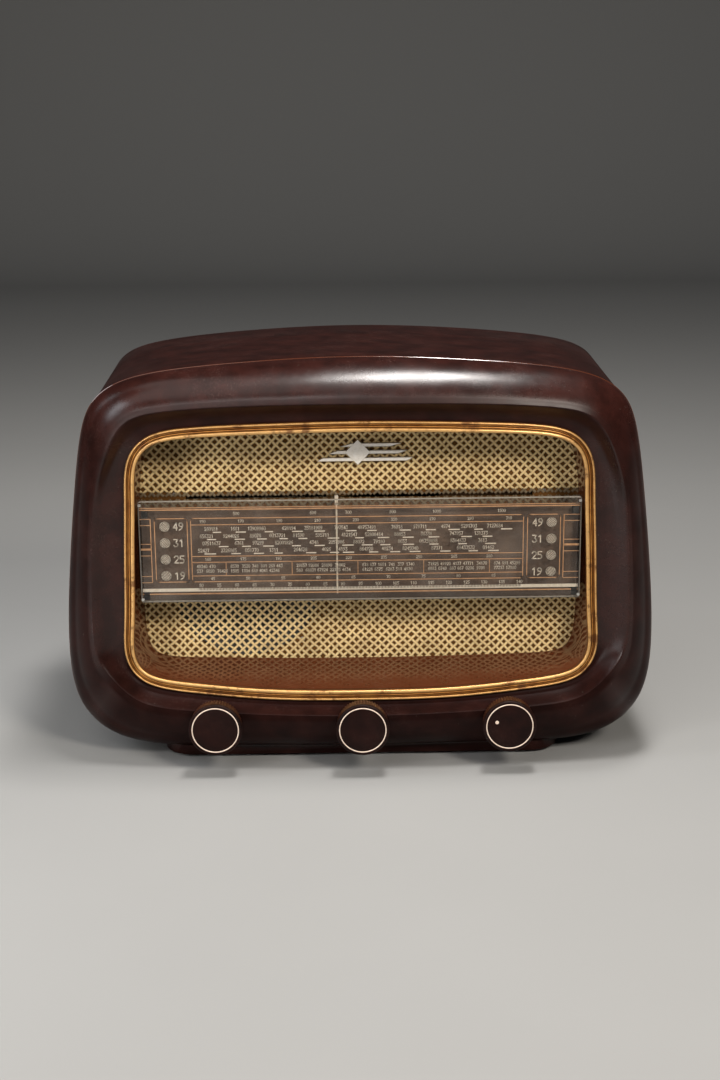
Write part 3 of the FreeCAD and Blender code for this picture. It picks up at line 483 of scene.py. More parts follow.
def paints():
    """Every material, by name."""
    return {
        "bakelite": bakelite("bakelite", (0.012, 0.0034, 0.0025), (0.027, 0.0073, 0.0053),
                             0.20, 0.36),
        "knob": bakelite("knob_bakelite", (0.006, 0.0020, 0.0016), (0.016, 0.0044, 0.0032),
                         0.34, 0.12),
        "gold": bezel_gold(),
        "weave": woven(),
        "glass": clear_glass("dial_glass_sheet", (0.96, 0.95, 0.93), 0.03, 0.06),
        "bulb": clear_glass("valve_glass", (0.86, 0.89, 0.88), 0.05, 0.10),
        "glass_edge": plain("ground_glass_edge", (0.22, 0.20, 0.17), (0.34, 0.31, 0.26), 300, 0.35),
        "inlay": plain("inlay_cream", (0.72, 0.55, 0.44), (0.86, 0.72, 0.60), 500, 0.42),
        "badge": plain("badge_enamel", (0.86, 0.80, 0.70), (0.96, 0.92, 0.85), 400, 0.28,
                       Coat_Weight=0.6),
        "badge_edge": plain("badge_rim", (0.42, 0.38, 0.33), (0.70, 0.66, 0.60), 500, 0.30, 1.0),
        "plate": plain("dial_plate_brown", (0.082, 0.050, 0.034), (0.17, 0.112, 0.078), 42, 0.55,
                       grain=500, bump=0.2),
        "plate_dark": plain("dial_margin_paint", (0.050, 0.032, 0.023), (0.085, 0.056, 0.040),
                            60, 0.6),
        "print_white": plain("print_ivory", (0.85, 0.76, 0.64), (0.97, 0.91, 0.82), 260, 0.6,
                             grain=300),
        "print_copper": plain("print_copper", (0.62, 0.32, 0.15), (0.82, 0.48, 0.26), 200, 0.5,
                              grain=300),
        "pointer": plain("pointer_ivory", (0.74, 0.66, 0.54), (0.86, 0.80, 0.70), 500, 0.4),
        "board": plain("board_brown", (0.085, 0.036, 0.008), (0.13, 0.056, 0.014), 60, 0.8,
                       stretch=(1, 1, 6), Specular_IOR_Level=0.1),
        "fibre": plain("rear_fibreboard", (0.23, 0.135, 0.070), (0.32, 0.20, 0.11), 34, 0.72,
                       grain=620, bump=0.5),
        "rubber": plain("black_rubber", (0.020, 0.020, 0.020), (0.045, 0.043, 0.040), 160, 0.72),
        "steel": plain("screw_steel", (0.55, 0.55, 0.54), (0.68, 0.67, 0.65), 700, 0.30, 1.0),
        "zinc": plain("zinc_sheet", (0.42, 0.43, 0.42), (0.60, 0.60, 0.57), 90, 0.38, 0.9,
                      grain=420),
        "nickel": plain("nickel", (0.62, 0.60, 0.55), (0.75, 0.73, 0.69), 300, 0.24, 1.0,
                        stretch=(6, 1, 6)),
        "brass": plain("brass_parts", (0.60, 0.42, 0.17), (0.74, 0.55, 0.27), 260, 0.30, 1.0),
        "aluminium": plain("aluminium", (0.62, 0.63, 0.63), (0.76, 0.76, 0.75), 120, 0.34, 1.0,
                           stretch=(1, 1, 5)),
        "paxolin": plain("paxolin", (0.18, 0.085, 0.033), (0.28, 0.145, 0.060), 120, 0.42,
                         stretch=(1, 4, 1)),
        "core": plain("transformer_core", (0.045, 0.045, 0.050), (0.105, 0.10, 0.10), 300, 0.5,
                      0.4, stretch=(1, 1, 20)),
        "wrap": plain("coil_wrap", (0.42, 0.29, 0.12), (0.56, 0.42, 0.21), 160, 0.6),
        "magnet": plain("magnet_paint", (0.10, 0.12, 0.12), (0.16, 0.18, 0.18), 90, 0.42),
        "basket": plain("speaker_paint", (0.050, 0.050, 0.048), (0.085, 0.085, 0.08), 160, 0.5),
        "paper": plain("cone_paper", (0.045, 0.040, 0.036), (0.095, 0.085, 0.075), 260, 0.9,
                       grain=1500, bump=0.5),
        "thread": plain("drive_thread", (0.24, 0.18, 0.12), (0.36, 0.28, 0.18), 900, 0.8,
                        grain=4000, bump=0.5),
        "lamp": clear_glass("lamp_glass", (0.95, 0.90, 0.78), 0.05, 0.08),
    }


def coat(piece, material):
    """Give a new piece its material."""
    piece.data.materials.clear()
    piece.data.materials.append(material)


# ---------------- cabinet
CREST = 0.13                # how softly the scoop leaves the ridge
LIFT = 17.0                 # how steeply the roll leaves it, in degrees
BEAD = 0.42                 # how far the crease's bead stands above the roll
# section of the crease, from behind it to in front: distance behind it and inwards
CREASE_BEAD = [(2.4, STEP), (1.9, STEP + 0.1), (1.4, STEP + 0.4), (0.6, STEP + 0.35), (0.42, 0.8),
               (0.36, 0.35), (0.2, 0.05), (0, 0), (-0.25, 0.01), (-0.45, 0.10), (-0.68, 0.33),
               (-0.85, 0.43), (-1.2, 0.45)]


def roll_ring(turn, amount=0.0):
    """Outline on the front roll: 0 degrees is the ridge, 90 the crease."""
    start = math.radians(LIFT)
    angle = start + (math.pi / 2 - start) * turn / 90
    share = (math.sin(angle) - math.sin(start)) / (1 - math.sin(start))
    points = whole(RIDGE) + (whole(OUTER) - whole(RIDGE)) * share
    return ring(points, CREASE * (1 - math.cos(angle) / math.cos(start)), amount)


def scoop_ring(share):
    """Outline in the hollow between the ridge and the bezel."""
    points = whole(RIDGE) + (whole(BEZEL) - whole(RIDGE)) * share
    hollow = (1 - (1 - share) ** 2.1) * share / (share + CREST) * (1 + CREST)
    return ring(points, LEDGE * hollow, -0.6 * share)


def mark_wear(shell, rings, scoop):
    """Where the moulding is glossier with painted light, and where it is duller with painted shade.
    """
    # painted light with more gloss: the reveal behind the bezel and the crease
    gloss_and_painted_light = np.zeros(len(rings))
    gloss_and_painted_light[-21:-11] = 1.0    # the reveal behind the bezel
    gloss_and_painted_light[10:17] = 0.6      # the crease
    mark(shell, "gloss_and_painted_light", np.repeat(gloss_and_painted_light, len(rings[0])))
    crease = rings[10]
    far_sides = np.clip((np.abs(crease[:, 0]) - 186) / 14, 0, 0.75)
    underside = np.clip((34 - crease[:, 2]) / 16, 0, 0.85)
    height = rings[scoop][:, 2]
    below_window = np.clip((78 - height) / 16, 0, 1)
    above_window = np.clip((height - 225) / 15, 0, 1)
    # painted shade with less gloss: the body behind the crease, the far sides, the underside, and
    # the ledge below and above the window
    dull_and_painted_shade = np.zeros((len(rings), len(rings[0])))
    dull_and_painted_shade[:8] = 0.85             # the body behind the crease
    dull_and_painted_shade[14:scoop - 4] = np.maximum(far_sides, underside)
    dull_and_painted_shade[scoop - 4:scoop + 15] = below_window + 0.6 * above_window
    mark(shell, "dull_and_painted_shade", dull_and_painted_shade.ravel())


def foot_low():
    """Height of the plinth's underside."""
    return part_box("cabinet_shell")[0].z / MM


def plinth():
    """Hollow skirt with rounded corners and a softened lower edge."""
    levels = [(0.0, 9.5), (0.0, foot_low() + 1.2), (0.3, foot_low() + 0.35), (1.2, foot_low())]
    rows = []
    for cut, z in levels:
        outline = rounded(-PLINTH_HALF + cut, PLINTH_HALF - cut, PLINTH_FRONT + cut,
                          PLINTH_BACK - cut, PLINTH_CORNER - cut)
        rows.append([(x, at(0) + depth, z) for x, depth in outline])
    inner_half = PLINTH_HALF - PLINTH_WALL
    inner = rounded(-inner_half, inner_half, PLINTH_FRONT + PLINTH_WALL,
                    PLINTH_BACK - PLINTH_WALL, 12)
    rows += [[(x, at(0) + depth, z) for x, depth in inner] for z in (foot_low(), 7.6)]
    return stack(rows)


def cabinet(paint):
    """The moulding: rear body, crease, roll, ridge, scoop, ledge, reveal, and its inside."""
    outer = whole(OUTER)
    stepped = inset(outer, STEP)
    rear = whole(REAR)
    window = inset(whole(BEZEL), BEZEL_WIDTH - 1.5)
    sill = whole(SILL)
    rings = [ring(rear, REAR_RIM, 1.0), ring(rear, REAR_RIM - 0.3, 0.3), ring(rear, REAR_RIM - 1.0)]
    for depth in (150, 100, 60):
        share = (depth - CREASE - 1.5) / (REAR_RIM - CREASE - 1.5)
        rings.append(ring(stepped + (rear - stepped) * share, depth))
    rings += [ring(outer, CREASE + behind, amount) for behind, amount in CREASE_BEAD]
    rings += [roll_ring(turn, BEAD) for turn in (86, 83, 80, 77)]
    rings += [roll_ring(turn, BEAD * turn / 76) for turn in range(74, 4, -4)]
    rings += [roll_ring(turn) for turn in (4, 1.5, 0)]
    scoop = len(rings)
    rings += [scoop_ring(share) for share in (0.02, 0.045, 0.075, 0.11, 0.15, 0.20, 0.26, 0.33,
                                              0.41, 0.50, 0.60, 0.70, 0.80, 0.90, 1.0)]
    rings += [ring(window, LEDGE, -0.6), ring(window, LEDGE + 0.15, -0.15),
              ring(window, LEDGE + 0.6, 0.0)]
    for share in np.linspace(0.1, 0.94, 9):
        points = window + (sill - window) * share
        rings.append(ring(points, LEDGE + (TUNNEL_END - LEDGE) * share))
    rings += [ring(sill, TUNNEL_END - 0.4), ring(sill, TUNNEL_END, -0.4),
              ring(sill, TUNNEL_END, -TUNNEL_WALL), ring(window, 20.5, -TUNNEL_WALL),
              ring(whole(RIDGE), 6.5, 1.0)]
    rings += [roll_ring(turn, WALL) for turn in (36, 54, 72, 90)]
    rings += [ring(rear, COVER_SEAT, WALL), ring(rear, COVER_SEAT, REAR_LIP),
              ring(rear, REAR_RIM, REAR_LIP)]
    shell = hoop("cabinet_moulding", rings)
    mark_wear(shell, rings, scoop)
    combine(shell, plinth(), "UNION")
    for depth in FOOT_DEPTHS:
        for x in (-FOOT_X, FOOT_X):
            combine(shell, prism(circle(x, at(depth), 10.8), foot_low() + 0.01, 8), "UNION")
    for x in (-KNOB_SPREAD, 0, KNOB_SPREAD):
        hole = prism(circle(x, KNOB_Z, 5, 48), at(-5), at(33), upright=False)
        combine(shell, hole, "DIFFERENCE")
    finish_mesh(shell.data, 32)
    coat(shell, paint["bakelite"])
    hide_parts("cabinet_shell")


def window_bezel(paint):
    """Reeded gilt strip on the ledge, its ends of the section tucked into the moulding."""
    bezel = whole(BEZEL)
    front = 9.3
    reed_height = 2.2
    # middle, half width and height of each reed, as shares of the strip's width and height
    reeds = [(0.13, 0.13, 0.85), (0.335, 0.055, 0.50), (0.50, 0.085, 0.62), (0.80, 0.20, 1.0)]
    rings = []
    groove = []
    steps = 56
    for k in range(steps + 1):
        share = k / steps
        height = 0.0
        for centre, half, top in reeds:
            reach = abs(share - centre) / half
            if reach < 1:
                height = max(height, top * (0.25 + 0.75 * math.sqrt(1 - reach * reach)))
        depth = front + reed_height * (1 - height)
        rings.append(ring(bezel, depth, BEZEL_WIDTH * share))
        # reed height: low reeds and the tucked-in edges take painted shade, the crests a painted
        # highlight
        groove.append(1 - height * 1.8 if 0 < k < steps else 0.8)
    rings += [ring(bezel, LEDGE - 0.05, BEZEL_WIDTH), ring(bezel, LEDGE - 0.05, 0)]
    groove += [0.6, 0.6]
    strip = hoop("bezel_strip", rings, smooth_angle=50)
    mark(strip, "groove", np.repeat(groove, len(rings[0])))
    coat(strip, paint["gold"])
    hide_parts("window_bezel")


# ---------------- woven grille
WEAVE_PITCH = 4.23
STRAND_WIDTH = 1.8
STRAND_THICK = 0.40
WEAVE_LIFT = 0.19
WEAVE_DEPTH = 50.5
CLOTH_EDGE = -2.2           # the cloth reaches this far beyond the sill's outline
ARM_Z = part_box("dial_pointer")[1].z / MM - 0.5


def wander(x, z):
    """Slow unevenness of the weave, in millimetres."""
    return (0.16 * math.sin(0.31 * x + 0.17 * z) + 0.15 * math.sin(0.83 * z - 0.41 * x + 1.3)
            + 0.10 * math.sin(1.27 * x + 0.73 * z + 0.4))


def weave(name, bands, paint):
    """Diagonal lattice of flat strands passing over and under each other, cut to the window."""
    edge = spline(inset(whole(SILL), CLOTH_EDGE), 12)
    limits = np.abs(edge[:, 0])
    order = np.argsort(edge[:, 1])
    rng = random.Random(int(bands[0][0]))
    cloth = Gather()
    across = []
    along = []

    def inside(x, z):
        if not any(low <= z <= high for low, high in bands):
            return False
        half = float(np.interp(z, edge[order, 1], limits[order]))
        top = float(np.interp(abs(x), *TOP_EDGE))
        bottom = float(np.interp(abs(x), *BOTTOM_EDGE))
        return abs(x) <= half and bottom <= z <= top

    def strand(points, direction):
        section = [(-1, 0.0), (-0.72, 1), (0, 1.12), (0.72, 1), (1, 0.0), (0.72, -1), (0, -1.12),
                   (-0.72, -1)]
        rows = []
        for x, z, lift, width, s in points:
            rows.append([(x - direction[1] * a * width / 2,
                          at(WEAVE_DEPTH) - lift - h * STRAND_THICK / 2 * 0.9,
                          z + direction[0] * a * width / 2) for a, h in section])
            across.extend(a for a, h in section)
            along.extend([s * MM] * len(section))
        cloth.add(*stack(rows))

    diagonal = math.sqrt(0.5)
    reach = int(420 / WEAVE_PITCH)
    quarter = WEAVE_PITCH / 4
    for family in (1, -1):
        direction = (diagonal, family * diagonal)
        for k in range(-reach, reach + 1):
            offset = k * WEAVE_PITCH
            runs = [[]]
            thick = rng.uniform(0.92, 1.08)
            drift = rng.uniform(-0.22, 0.22)
            phase = rng.uniform(0, 6.28)
            for step in range(-4 * reach, 4 * reach + 1):
                s = step * quarter
                x = s * direction[0] - (offset + drift) * direction[1]
                z = 150 + s * direction[1] + (offset + drift) * direction[0]
                moved = wander(x * family, z + 40 * family)
                x -= moved * direction[1]
                z += moved * direction[0]
                if inside(x, z):
                    over = family * math.cos(math.pi * s / WEAVE_PITCH + math.pi * k)
                    width = STRAND_WIDTH * thick * (1 + 0.09 * math.sin(0.9 * s + phase))
                    runs[-1].append((x, z, WEAVE_LIFT * over, width, s))
                elif runs[-1]:
                    runs.append([])
            for run in runs:
                if len(run) > 2:
                    strand(run, direction)
    piece = new_object(name, cloth.vertices, cloth.faces, smooth_angle=60)
    mark(piece, "across", across)
    mark(piece, "along", along)
    mark(piece, "shade", [0.85 if ARM_Z - 9 < z < ARM_Z + 4.2 else 0.0
                          for x, y, z in cloth.vertices])
    coat(piece, paint["weave"])
    return piece


def edge_table(top):
    """Height of the cloth's top or bottom edge against the distance from the middle."""
    curve = spline(inset(whole(SILL), CLOTH_EDGE), 12)
    curve = curve[curve[:, 0] >= 0]
    middle = 0.5 * (curve[:, 1].max() + curve[:, 1].min())
    part = curve[curve[:, 1] > middle] if top else curve[curve[:, 1] <= middle]
    part = part[np.argsort(part[:, 0])]
    return part[:, 0], part[:, 1]


TOP_EDGE = edge_table(True)
BOTTOM_EDGE = edge_table(False)


def grille(paint):
    upper = weave("grille_cloth_upper", ((175, ARM_Z - 0.8), (ARM_Z + 0.8, 240)), paint)
    lower = weave("grille_cloth_lower", ((60, 117.5),), paint)
    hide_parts("grille_cloth")


# ---------------- dial print
GLASS_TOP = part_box("dial_glass")[1].z / MM
GLASS_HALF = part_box("dial_glass")[1].x / MM
PRINT_DEPTH = 25.01
PRINT_THICK = 0.05
SCALE_LEFT = -111.0
SCALE_RIGHT = 110.0

# strokes of each digit on a field one wide and two high
DIGITS = {
    "0": [[(0.3, 0), (0.7, 0), (1, 0.4), (1, 1.6), (0.7, 2), (0.3, 2), (0, 1.6), (0, 0.4),
           (0.3, 0)]],
    "1": [[(0.2, 1.6), (0.6, 2), (0.6, 0)]],
    "2": [[(0, 1.6), (0.3, 2), (0.8, 2), (1, 1.6), (1, 1.2), (0, 0), (1, 0)]],
    "3": [[(0, 2), (1, 2), (0.5, 1.15), (1, 0.8), (1, 0.35), (0.7, 0), (0.2, 0), (0, 0.3)]],
    "4": [[(0.8, 0), (0.8, 2), (0, 0.6), (1, 0.6)]],
    "5": [[(1, 2), (0.1, 2), (0, 1.1), (0.7, 1.2), (1, 0.8), (1, 0.35), (0.7, 0), (0, 0)]],
    "6": [[(0.9, 2), (0.3, 1.6), (0, 0.9), (0, 0.35), (0.3, 0), (0.7, 0), (1, 0.4), (0.8, 1),
           (0.1, 1)]],
    "7": [[(0, 2), (1, 2), (0.35, 0)]],
    "8": [[(0.5, 1.1), (0.1, 1.4), (0.1, 1.8), (0.4, 2), (0.7, 2), (0.9, 1.75), (0.9, 1.4),
           (0.5, 1.1), (0, 0.7), (0, 0.3), (0.3, 0), (0.7, 0), (1, 0.3), (1, 0.7), (0.5, 1.1)]],
    "9": [[(0.1, 0), (0.7, 0.4), (1, 1.1), (1, 1.65), (0.7, 2), (0.3, 2), (0, 1.6), (0.2, 1),
           (0.9, 1)]],
}


class Print(Gather):
    """Flat ink on the back of the glass: u from the centre, v down from the top edge."""

    def quad(self, corners):
        self.add([(u, at(depth), GLASS_TOP - v)
                  for depth in (PRINT_DEPTH, PRINT_DEPTH + PRINT_THICK) for u, v in corners],
                 ((0, 1, 2, 3), (7, 6, 5, 4), (0, 4, 5, 1), (1, 5, 6, 2), (2, 6, 7, 3),
                  (3, 7, 4, 0)))

    def bar(self, u0, u1, v0, v1):
        self.quad([(u0, v0), (u1, v0), (u1, v1), (u0, v1)])

    def stroke(self, points, width):
        for (u0, v0), (u1, v1) in zip(points, points[1:]):
            length = math.hypot(u1 - u0, v1 - v0) or 1.0
            du = (u1 - u0) / length * width / 2
            dv = (v1 - v0) / length * width / 2
            self.quad([(u0 - du - dv, v0 - dv + du), (u0 - du + dv, v0 - dv - du),
                       (u1 + du + dv, v1 + dv - du), (u1 + du - dv, v1 + dv + du)])

    def box(self, u0, u1, v0, v1, width, radius):
        outline = rounded(u0, u1, v0, v1, radius, 5)
        self.stroke(outline + outline[:1], width)

    def number(self, text, u, v, height, width, ink, gap=0.45):
        """Digits centred on u, with their middle at v."""
        size = width + gap
        left = u - (len(text) * size - gap) / 2
        for i, digit in enumerate(text):
            for line in DIGITS[digit]:
                self.stroke([(left + i * size + x * width, v + height / 2 - z * height / 2)
                             for x, z in line], ink)

    def disc(self, u, v, radius, hatch_angle, ink):
        """Ringed marker with hatching."""
        outline = circle(u, v, radius, 28)
        self.stroke(outline + outline[:1], ink * 1.25)
        turn = (math.cos(hatch_angle), math.sin(hatch_angle))
        lines = 6
        for k in range(-lines // 2, lines // 2 + 1):
            offset = k * radius * 2 / (lines + 1.2)
            half = math.sqrt(max(radius ** 2 - offset ** 2, 0)) * 0.93
            middle = (u - turn[1] * offset, v + turn[0] * offset)
            self.stroke([(middle[0] - turn[0] * half, middle[1] - turn[1] * half),
                         (middle[0] + turn[0] * half, middle[1] + turn[1] * half)], ink)

    def done(self, name, material, slot):
        coat(new_object(name, self.vertices, self.faces, smooth_angle=20), material)


BOX_TOP = 12.7
BOX_LINES = (17.0, 39.2, 43.4, 53.0)
BOX_LOW = 57.4
MAIN_LEFT = -115.0
MAIN_RIGHT = 111.0


def copper_print():
    """Frame lines of the dial."""
    ink = Print()
    for v, width in ((5.0, 0.55), (6.2, 0.8), (65.5, 0.8)):
        ink.bar(-GLASS_HALF + 0.6, GLASS_HALF - 0.6, v, v + width)
    ink.box(MAIN_LEFT, MAIN_RIGHT, BOX_TOP, BOX_LOW, 0.55, 1.2)
    for v in BOX_LINES:
        ink.bar(MAIN_LEFT, MAIN_RIGHT, v, v + 0.5)
    ink.box(-139.6, -117.4, BOX_TOP, BOX_LOW, 0.55, 1.6)
    ink.box(113.8, 136.2, BOX_TOP, BOX_LOW, 0.55, 1.6)
    for side, inner in ((-1, -142.3), (1, 138.6)):
        end = side * (GLASS_HALF - 0.6)
        ink.bar(inner - 0.28, inner + 0.28, BOX_TOP, BOX_LOW)
        low, high = sorted((inner, end))
        for v in (BOX_TOP, 17.0, 30.2, 38.4, 53.0, BOX_LOW):
            ink.bar(low, high, v, v + 0.45)
        ink.bar(low, high, 33.4, 34.8)
    for u in (-92, -47, -2, 43, 88):
        ink.bar(u, u + 0.4, BOX_LINES[2], BOX_LINES[3])
    return ink


def ivory_print():
    """Numbers, station dashes, markers and the ruled strip."""
    ink = Print()
    rng = random.Random(7)

    def digits(count):
        return "".join(rng.choice("0123456789") for _ in range(count))

    # four staggered rows of station marks: a number with an underline at the tuned place
    for row in range(4):
        v = 20.2 + 5.05 * row
        u = MAIN_LEFT + 9 - 3.2 * row % 5
        while u < MAIN_RIGHT - 14:
            count = rng.choice((4, 5, 6, 7, 8))
            length = count * 1.55
            ink.number(digits(count), u + length / 2, v, 2.3, 1.05, 0.36, 0.5)
            dash = rng.uniform(0.45, 0.95) * length
            ink.bar(u + dash, u + dash + rng.uniform(5.5, 8.0), v + 2.0, v + 2.75)
            u += length + rng.uniform(5.0, 12.0)
    # two rows of small marks for the short-wave bands
    for row in range(2):
        v = 46.6 + 3.3 * row
        for left in (-112, -89, -44, 1, 46, 91):
            right = {-112: -94, 91: 108}.get(left, left + 38)
            u = left
            while u < right - 4:
                count = rng.choice((3, 4, 5))
                ink.number(digits(count), u + count * 0.75, v, 2.0, 0.95, 0.34, 0.5)
                u += count * 1.45 + rng.uniform(0.8, 2.0)
    # thin scale rows
    for v, start, apart, value, step in ((14.9, 8, 26, 150, 20), (41.5, 11, 24, 160, 15),
                                         (55.3, 14, 24, 45, 5)):
        u = MAIN_LEFT + start
        while u < MAIN_RIGHT - 6:
            ink.number(str(value), u, v, 1.8, 0.95, 0.32)
            u += apart
            value += step
    # numbers above the main box
    for u, text in ((-84, "500"), (-32, "600"), (-8, "700"), (22, "800"), (52, "1000"),
                    (96, "1500")):
        ink.number(text, u, 9.6, 1.9, 1.0, 0.34)
    # main scale
    value = 50
    u = SCALE_LEFT + 2
    while u < SCALE_RIGHT:
        ink.number(str(value), u, 60.0, 1.9, 1.0, 0.36)
        u += 12.1
        value += 5
    ink.bar(-GLASS_HALF + 0.8, SCALE_LEFT, 62.0, 64.3)
    ink.bar(SCALE_RIGHT, GLASS_HALF - 0.8, 62.0, 64.3)
    ink.bar(SCALE_LEFT, SCALE_RIGHT, 63.5, 64.3)
    ticks = int(SCALE_RIGHT - SCALE_LEFT)
    for k in range(ticks):
        top = 61.7 if k % 12 == 2 else 62.1
        ink.bar(SCALE_LEFT + k + 0.2, SCALE_LEFT + k + 0.72, top, 63.6)
    # band markers with generic metre-band numbers
    for row, (text, angle) in enumerate((("49", 0.9), ("31", 0.6), ("25", 2.2), ("19", 2.0))):
        v = 18.2 + 11.6 * row
        for u in (-132.8, 130.2):
            ink.disc(u, v, 3.25, -angle, 0.38)
        for u in (-123.6, 120.6):
            ink.number(text, u, v, 4.9, 2.6, 0.72, 1.2)
    return ink


def dial(paint):
    """Print, bevelled glass, dark margin and clips, and the paper behind the pointer's slit."""
    copper_print().done("dial_lines", paint["print_copper"], "brass_parts")
    ivory_print().done("dial_marks", paint["print_white"], "pointer_white")

    low, high = (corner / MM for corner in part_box("dial_glass"))
    bevel = 0.45
    rows = []
    for cut, y in ((bevel, low.y), (0, low.y + bevel), (0, high.y - bevel), (bevel, high.y)):
        rows.append([(x, y, z) for x, z in rounded(low.x + cut, high.x - cut, low.z + cut,
                                                  high.z - cut, 1.6 - cut)])
    sheet = new_object("dial_glass_sheet", *stack(rows), smooth_angle=30)
    coat(sheet, paint["glass"])
    sheet.data.materials.append(paint["glass_edge"])
    for face in sheet.data.polygons:
        if abs(face.normal.y) < 0.9:
            face.material_index = 1
    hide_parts("dial_glass")

    margin = prism(rounded(low.x + 0.8, high.x - 0.8, low.z + 0.5, GLASS_TOP - 66.9, 0.4, 3),
                   at(PRINT_DEPTH), at(PRINT_DEPTH + PRINT_THICK), upright=False)
    strip = new_object("dial_margin", *margin, smooth_angle=20)
    coat(strip, paint["plate_dark"])

    # dark paper inside the rear cover, so that no daylight shows through the pointer's slit
    paper = prism(rounded(-142, 142, 145, 175, 2), at(COVER_SEAT - 0.5), at(COVER_SEAT + 0.1),
                  upright=False)
    coat(new_object("vent_paper", *paper, smooth_angle=20), paint["plate_dark"])

    clips = Gather()
    for side in (-1, 1):
        for z in (low.z + 2.4, high.z - 2.4):
            x = side * (GLASS_HALF - 1.1)
            clips.add(*prism(rounded(x - 1.0, x + 1.0, z - 0.9, z + 0.9, 0.6, 4),
                             at(21.2), at(21.8), upright=False))
    coat(new_object("glass_clips", clips.vertices, clips.faces), paint["nickel"])


# ---------------- badge
def badge(paint):
    """Generic ornament: three speed bars crossed by a lozenge."""
    ornament = Gather()
    shapes = []
    for k in range(3):
        z = 209 + 5 * k
        half = 33 - 6 * k
        tip = 4 + 2 * k
        shapes.append((47.4, [(-half + tip, z - 1.35), (half, z - 1.35), (half + tip, z + 1.35),
                              (-half + 2 * tip, z + 1.35)]))
    shapes.append((47.2, [(-1, 205), (8, 214), (-1, 223), (-10, 214)]))
    for front, corners in shapes:
        middle = np.mean(corners, axis=0)
        rows = [[(x, at(depth), z) for x, z in corners] for depth in (49, front + 0.5)]
        face_row = []
        for x, z in corners:
            away = math.hypot(x - middle[0], z - middle[1])
            face_row.append((float(middle[0] + (x - middle[0]) * (1 - 0.42 / away)), at(front),
                             float(z + 0.35 * np.sign(middle[1] - z))))
        ornament.add(*stack(rows + [face_row]))
    piece = new_object("badge_ornament", ornament.vertices, ornament.faces, smooth_angle=15)
    coat(piece, paint["badge_edge"])
    piece.data.materials.append(paint["badge"])
    for face in piece.data.polygons:
        if abs(face.normal.y) > 0.9:
            face.material_index = 1
    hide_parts("badge")


# ---------------- knobs
FLUTES = 54


def knobs(paint):
    """Fluted sides behind a smooth rim, a flat face and a cream ring let into it."""
    for name, x in (("volume", -KNOB_SPREAD), ("tuning", 0.0), ("band", KNOB_SPREAD)):
        low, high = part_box(name + "_knob")
        front = low.y / MM
        back = high.y / MM
        radius = (high.x - low.x) / 2 / MM
        face = front + 0.22
        sections = [(0.0, face), (8, face), (15.0, face + 0.03), (15.22, face + 0.12),
                    (15.28, front + 1.0), (16.12, front + 1.0), (16.18, face + 0.12),
                    (16.4, face + 0.02), (radius - 0.85, face + 0.05), (radius - 0.35, face + 0.25),
                    (radius - 0.08, face + 0.6), (radius, face + 1.1), (radius, front + 2.9),
                    (radius - 0.12, front + 3.2), (radius - 0.45, front + 3.4)]
        sections = [(r, y, 0.0) for r, y in sections]
        length = back - front
        for share in np.linspace(0.0, 1.0, 8):
            depth = front + 3.5 + (length - 4.3) * share
            sections.append((radius - 0.30 - 0.5 * share, depth, min(1.0, 0.25 + 4 * share)))
        sections += [(radius - 1.3, back, 1.0), (radius - 2.6, back, 0.0), (3.2, back, 0.0),
                     (3.05, back - 2.5, 0.0), (0.0, back - 2.5, 0.0)]
        solid = lathe(sections, x, KNOB_Z, 8 * FLUTES, FLUTES, 0.75)
        knob = new_object(name + "_knob_moulding", *solid, name + "_knob", 40)
        finish_mesh(knob.data, 40, 0.03 * MM)
        # painted light: the fluted sides take the lighter, redder, glossier tone
        flutes = [math.hypot(v.co.x / MM - x, v.co.z / MM - KNOB_Z) > radius - 1.9
                  and v.co.y / MM > front + 3.3 for v in knob.data.vertices]
        mark(knob, "gloss_and_painted_light", [0.3 if flute else 0.0 for flute in flutes])
        coat(knob, paint["knob"])
        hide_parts(name + "_knob")

        loop = []
        for k in range(14):
            angle = 2 * math.pi * k / 14
            loop.append((15.7 + 0.4 * math.cos(angle), front + 0.5 - 0.46 * math.sin(angle), 0.0))
        solid = lathe(loop, x, KNOB_Z, 160, closed=True)
        inlay = new_object(name + "_knob_inlay", *solid, name + "_knob", 60)
        coat(inlay, paint["inlay"])
        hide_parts(name + "_knob_ring")


# ---------------- carried-over parts
NODE_PAINT = {
    "board": ["grille_board"],
    "plate": ["dial_backplate"],
    "pointer": ["dial_pointer"],
    "fibre": ["rear_cover"],
    "inlay": ["band_knob_dot"],
    "rubber": ["rubber_feet", "cord_grommet", "glass_gaskets", "chassis_washers"],
    "steel": ["board_screws", "rear_cover_screws", "speaker_screws", "chassis_bolts"],
    "zinc": ["rail_brackets", "gang_frame", "gang_bracket", "chassis", "volume_control"],
    "nickel": ["dial_posts", "idler_posts", "tuning_spindle", "volume_shaft", "band_shaft"],
    "brass": ["lamp_holders", "pointer_carriage", "idler_left", "idler_right", "idler_centre",
              "spindle_bush"],
    "aluminium": ["gang_stators", "gang_rotor", "if_cans", "smoothing_can"],
    "paxolin": ["tuning_drum", "valve_sockets", "band_switch", "rear_socket_panel",
                "voltage_selector", "coil_pack"],
    "core": ["output_transformer", "mains_transformer"],
    "wrap": ["transformer_coil"],
    "magnet": ["speaker_magnet", "pointer_rail"],
    "basket": ["speaker_frame"],
    "paper": ["speaker_cone"],
    "thread": ["drive_cord"],
    "bulb": ["valves"],
    "lamp": ["dial_lamps"],
}


def finish_nodes(paint):
    """Give the frame's own parts their materials."""
    for name, nodes in NODE_PAINT.items():
        for node in nodes:
            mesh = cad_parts[node].data
            mesh.materials.clear()
            mesh.materials.append(paint[name])


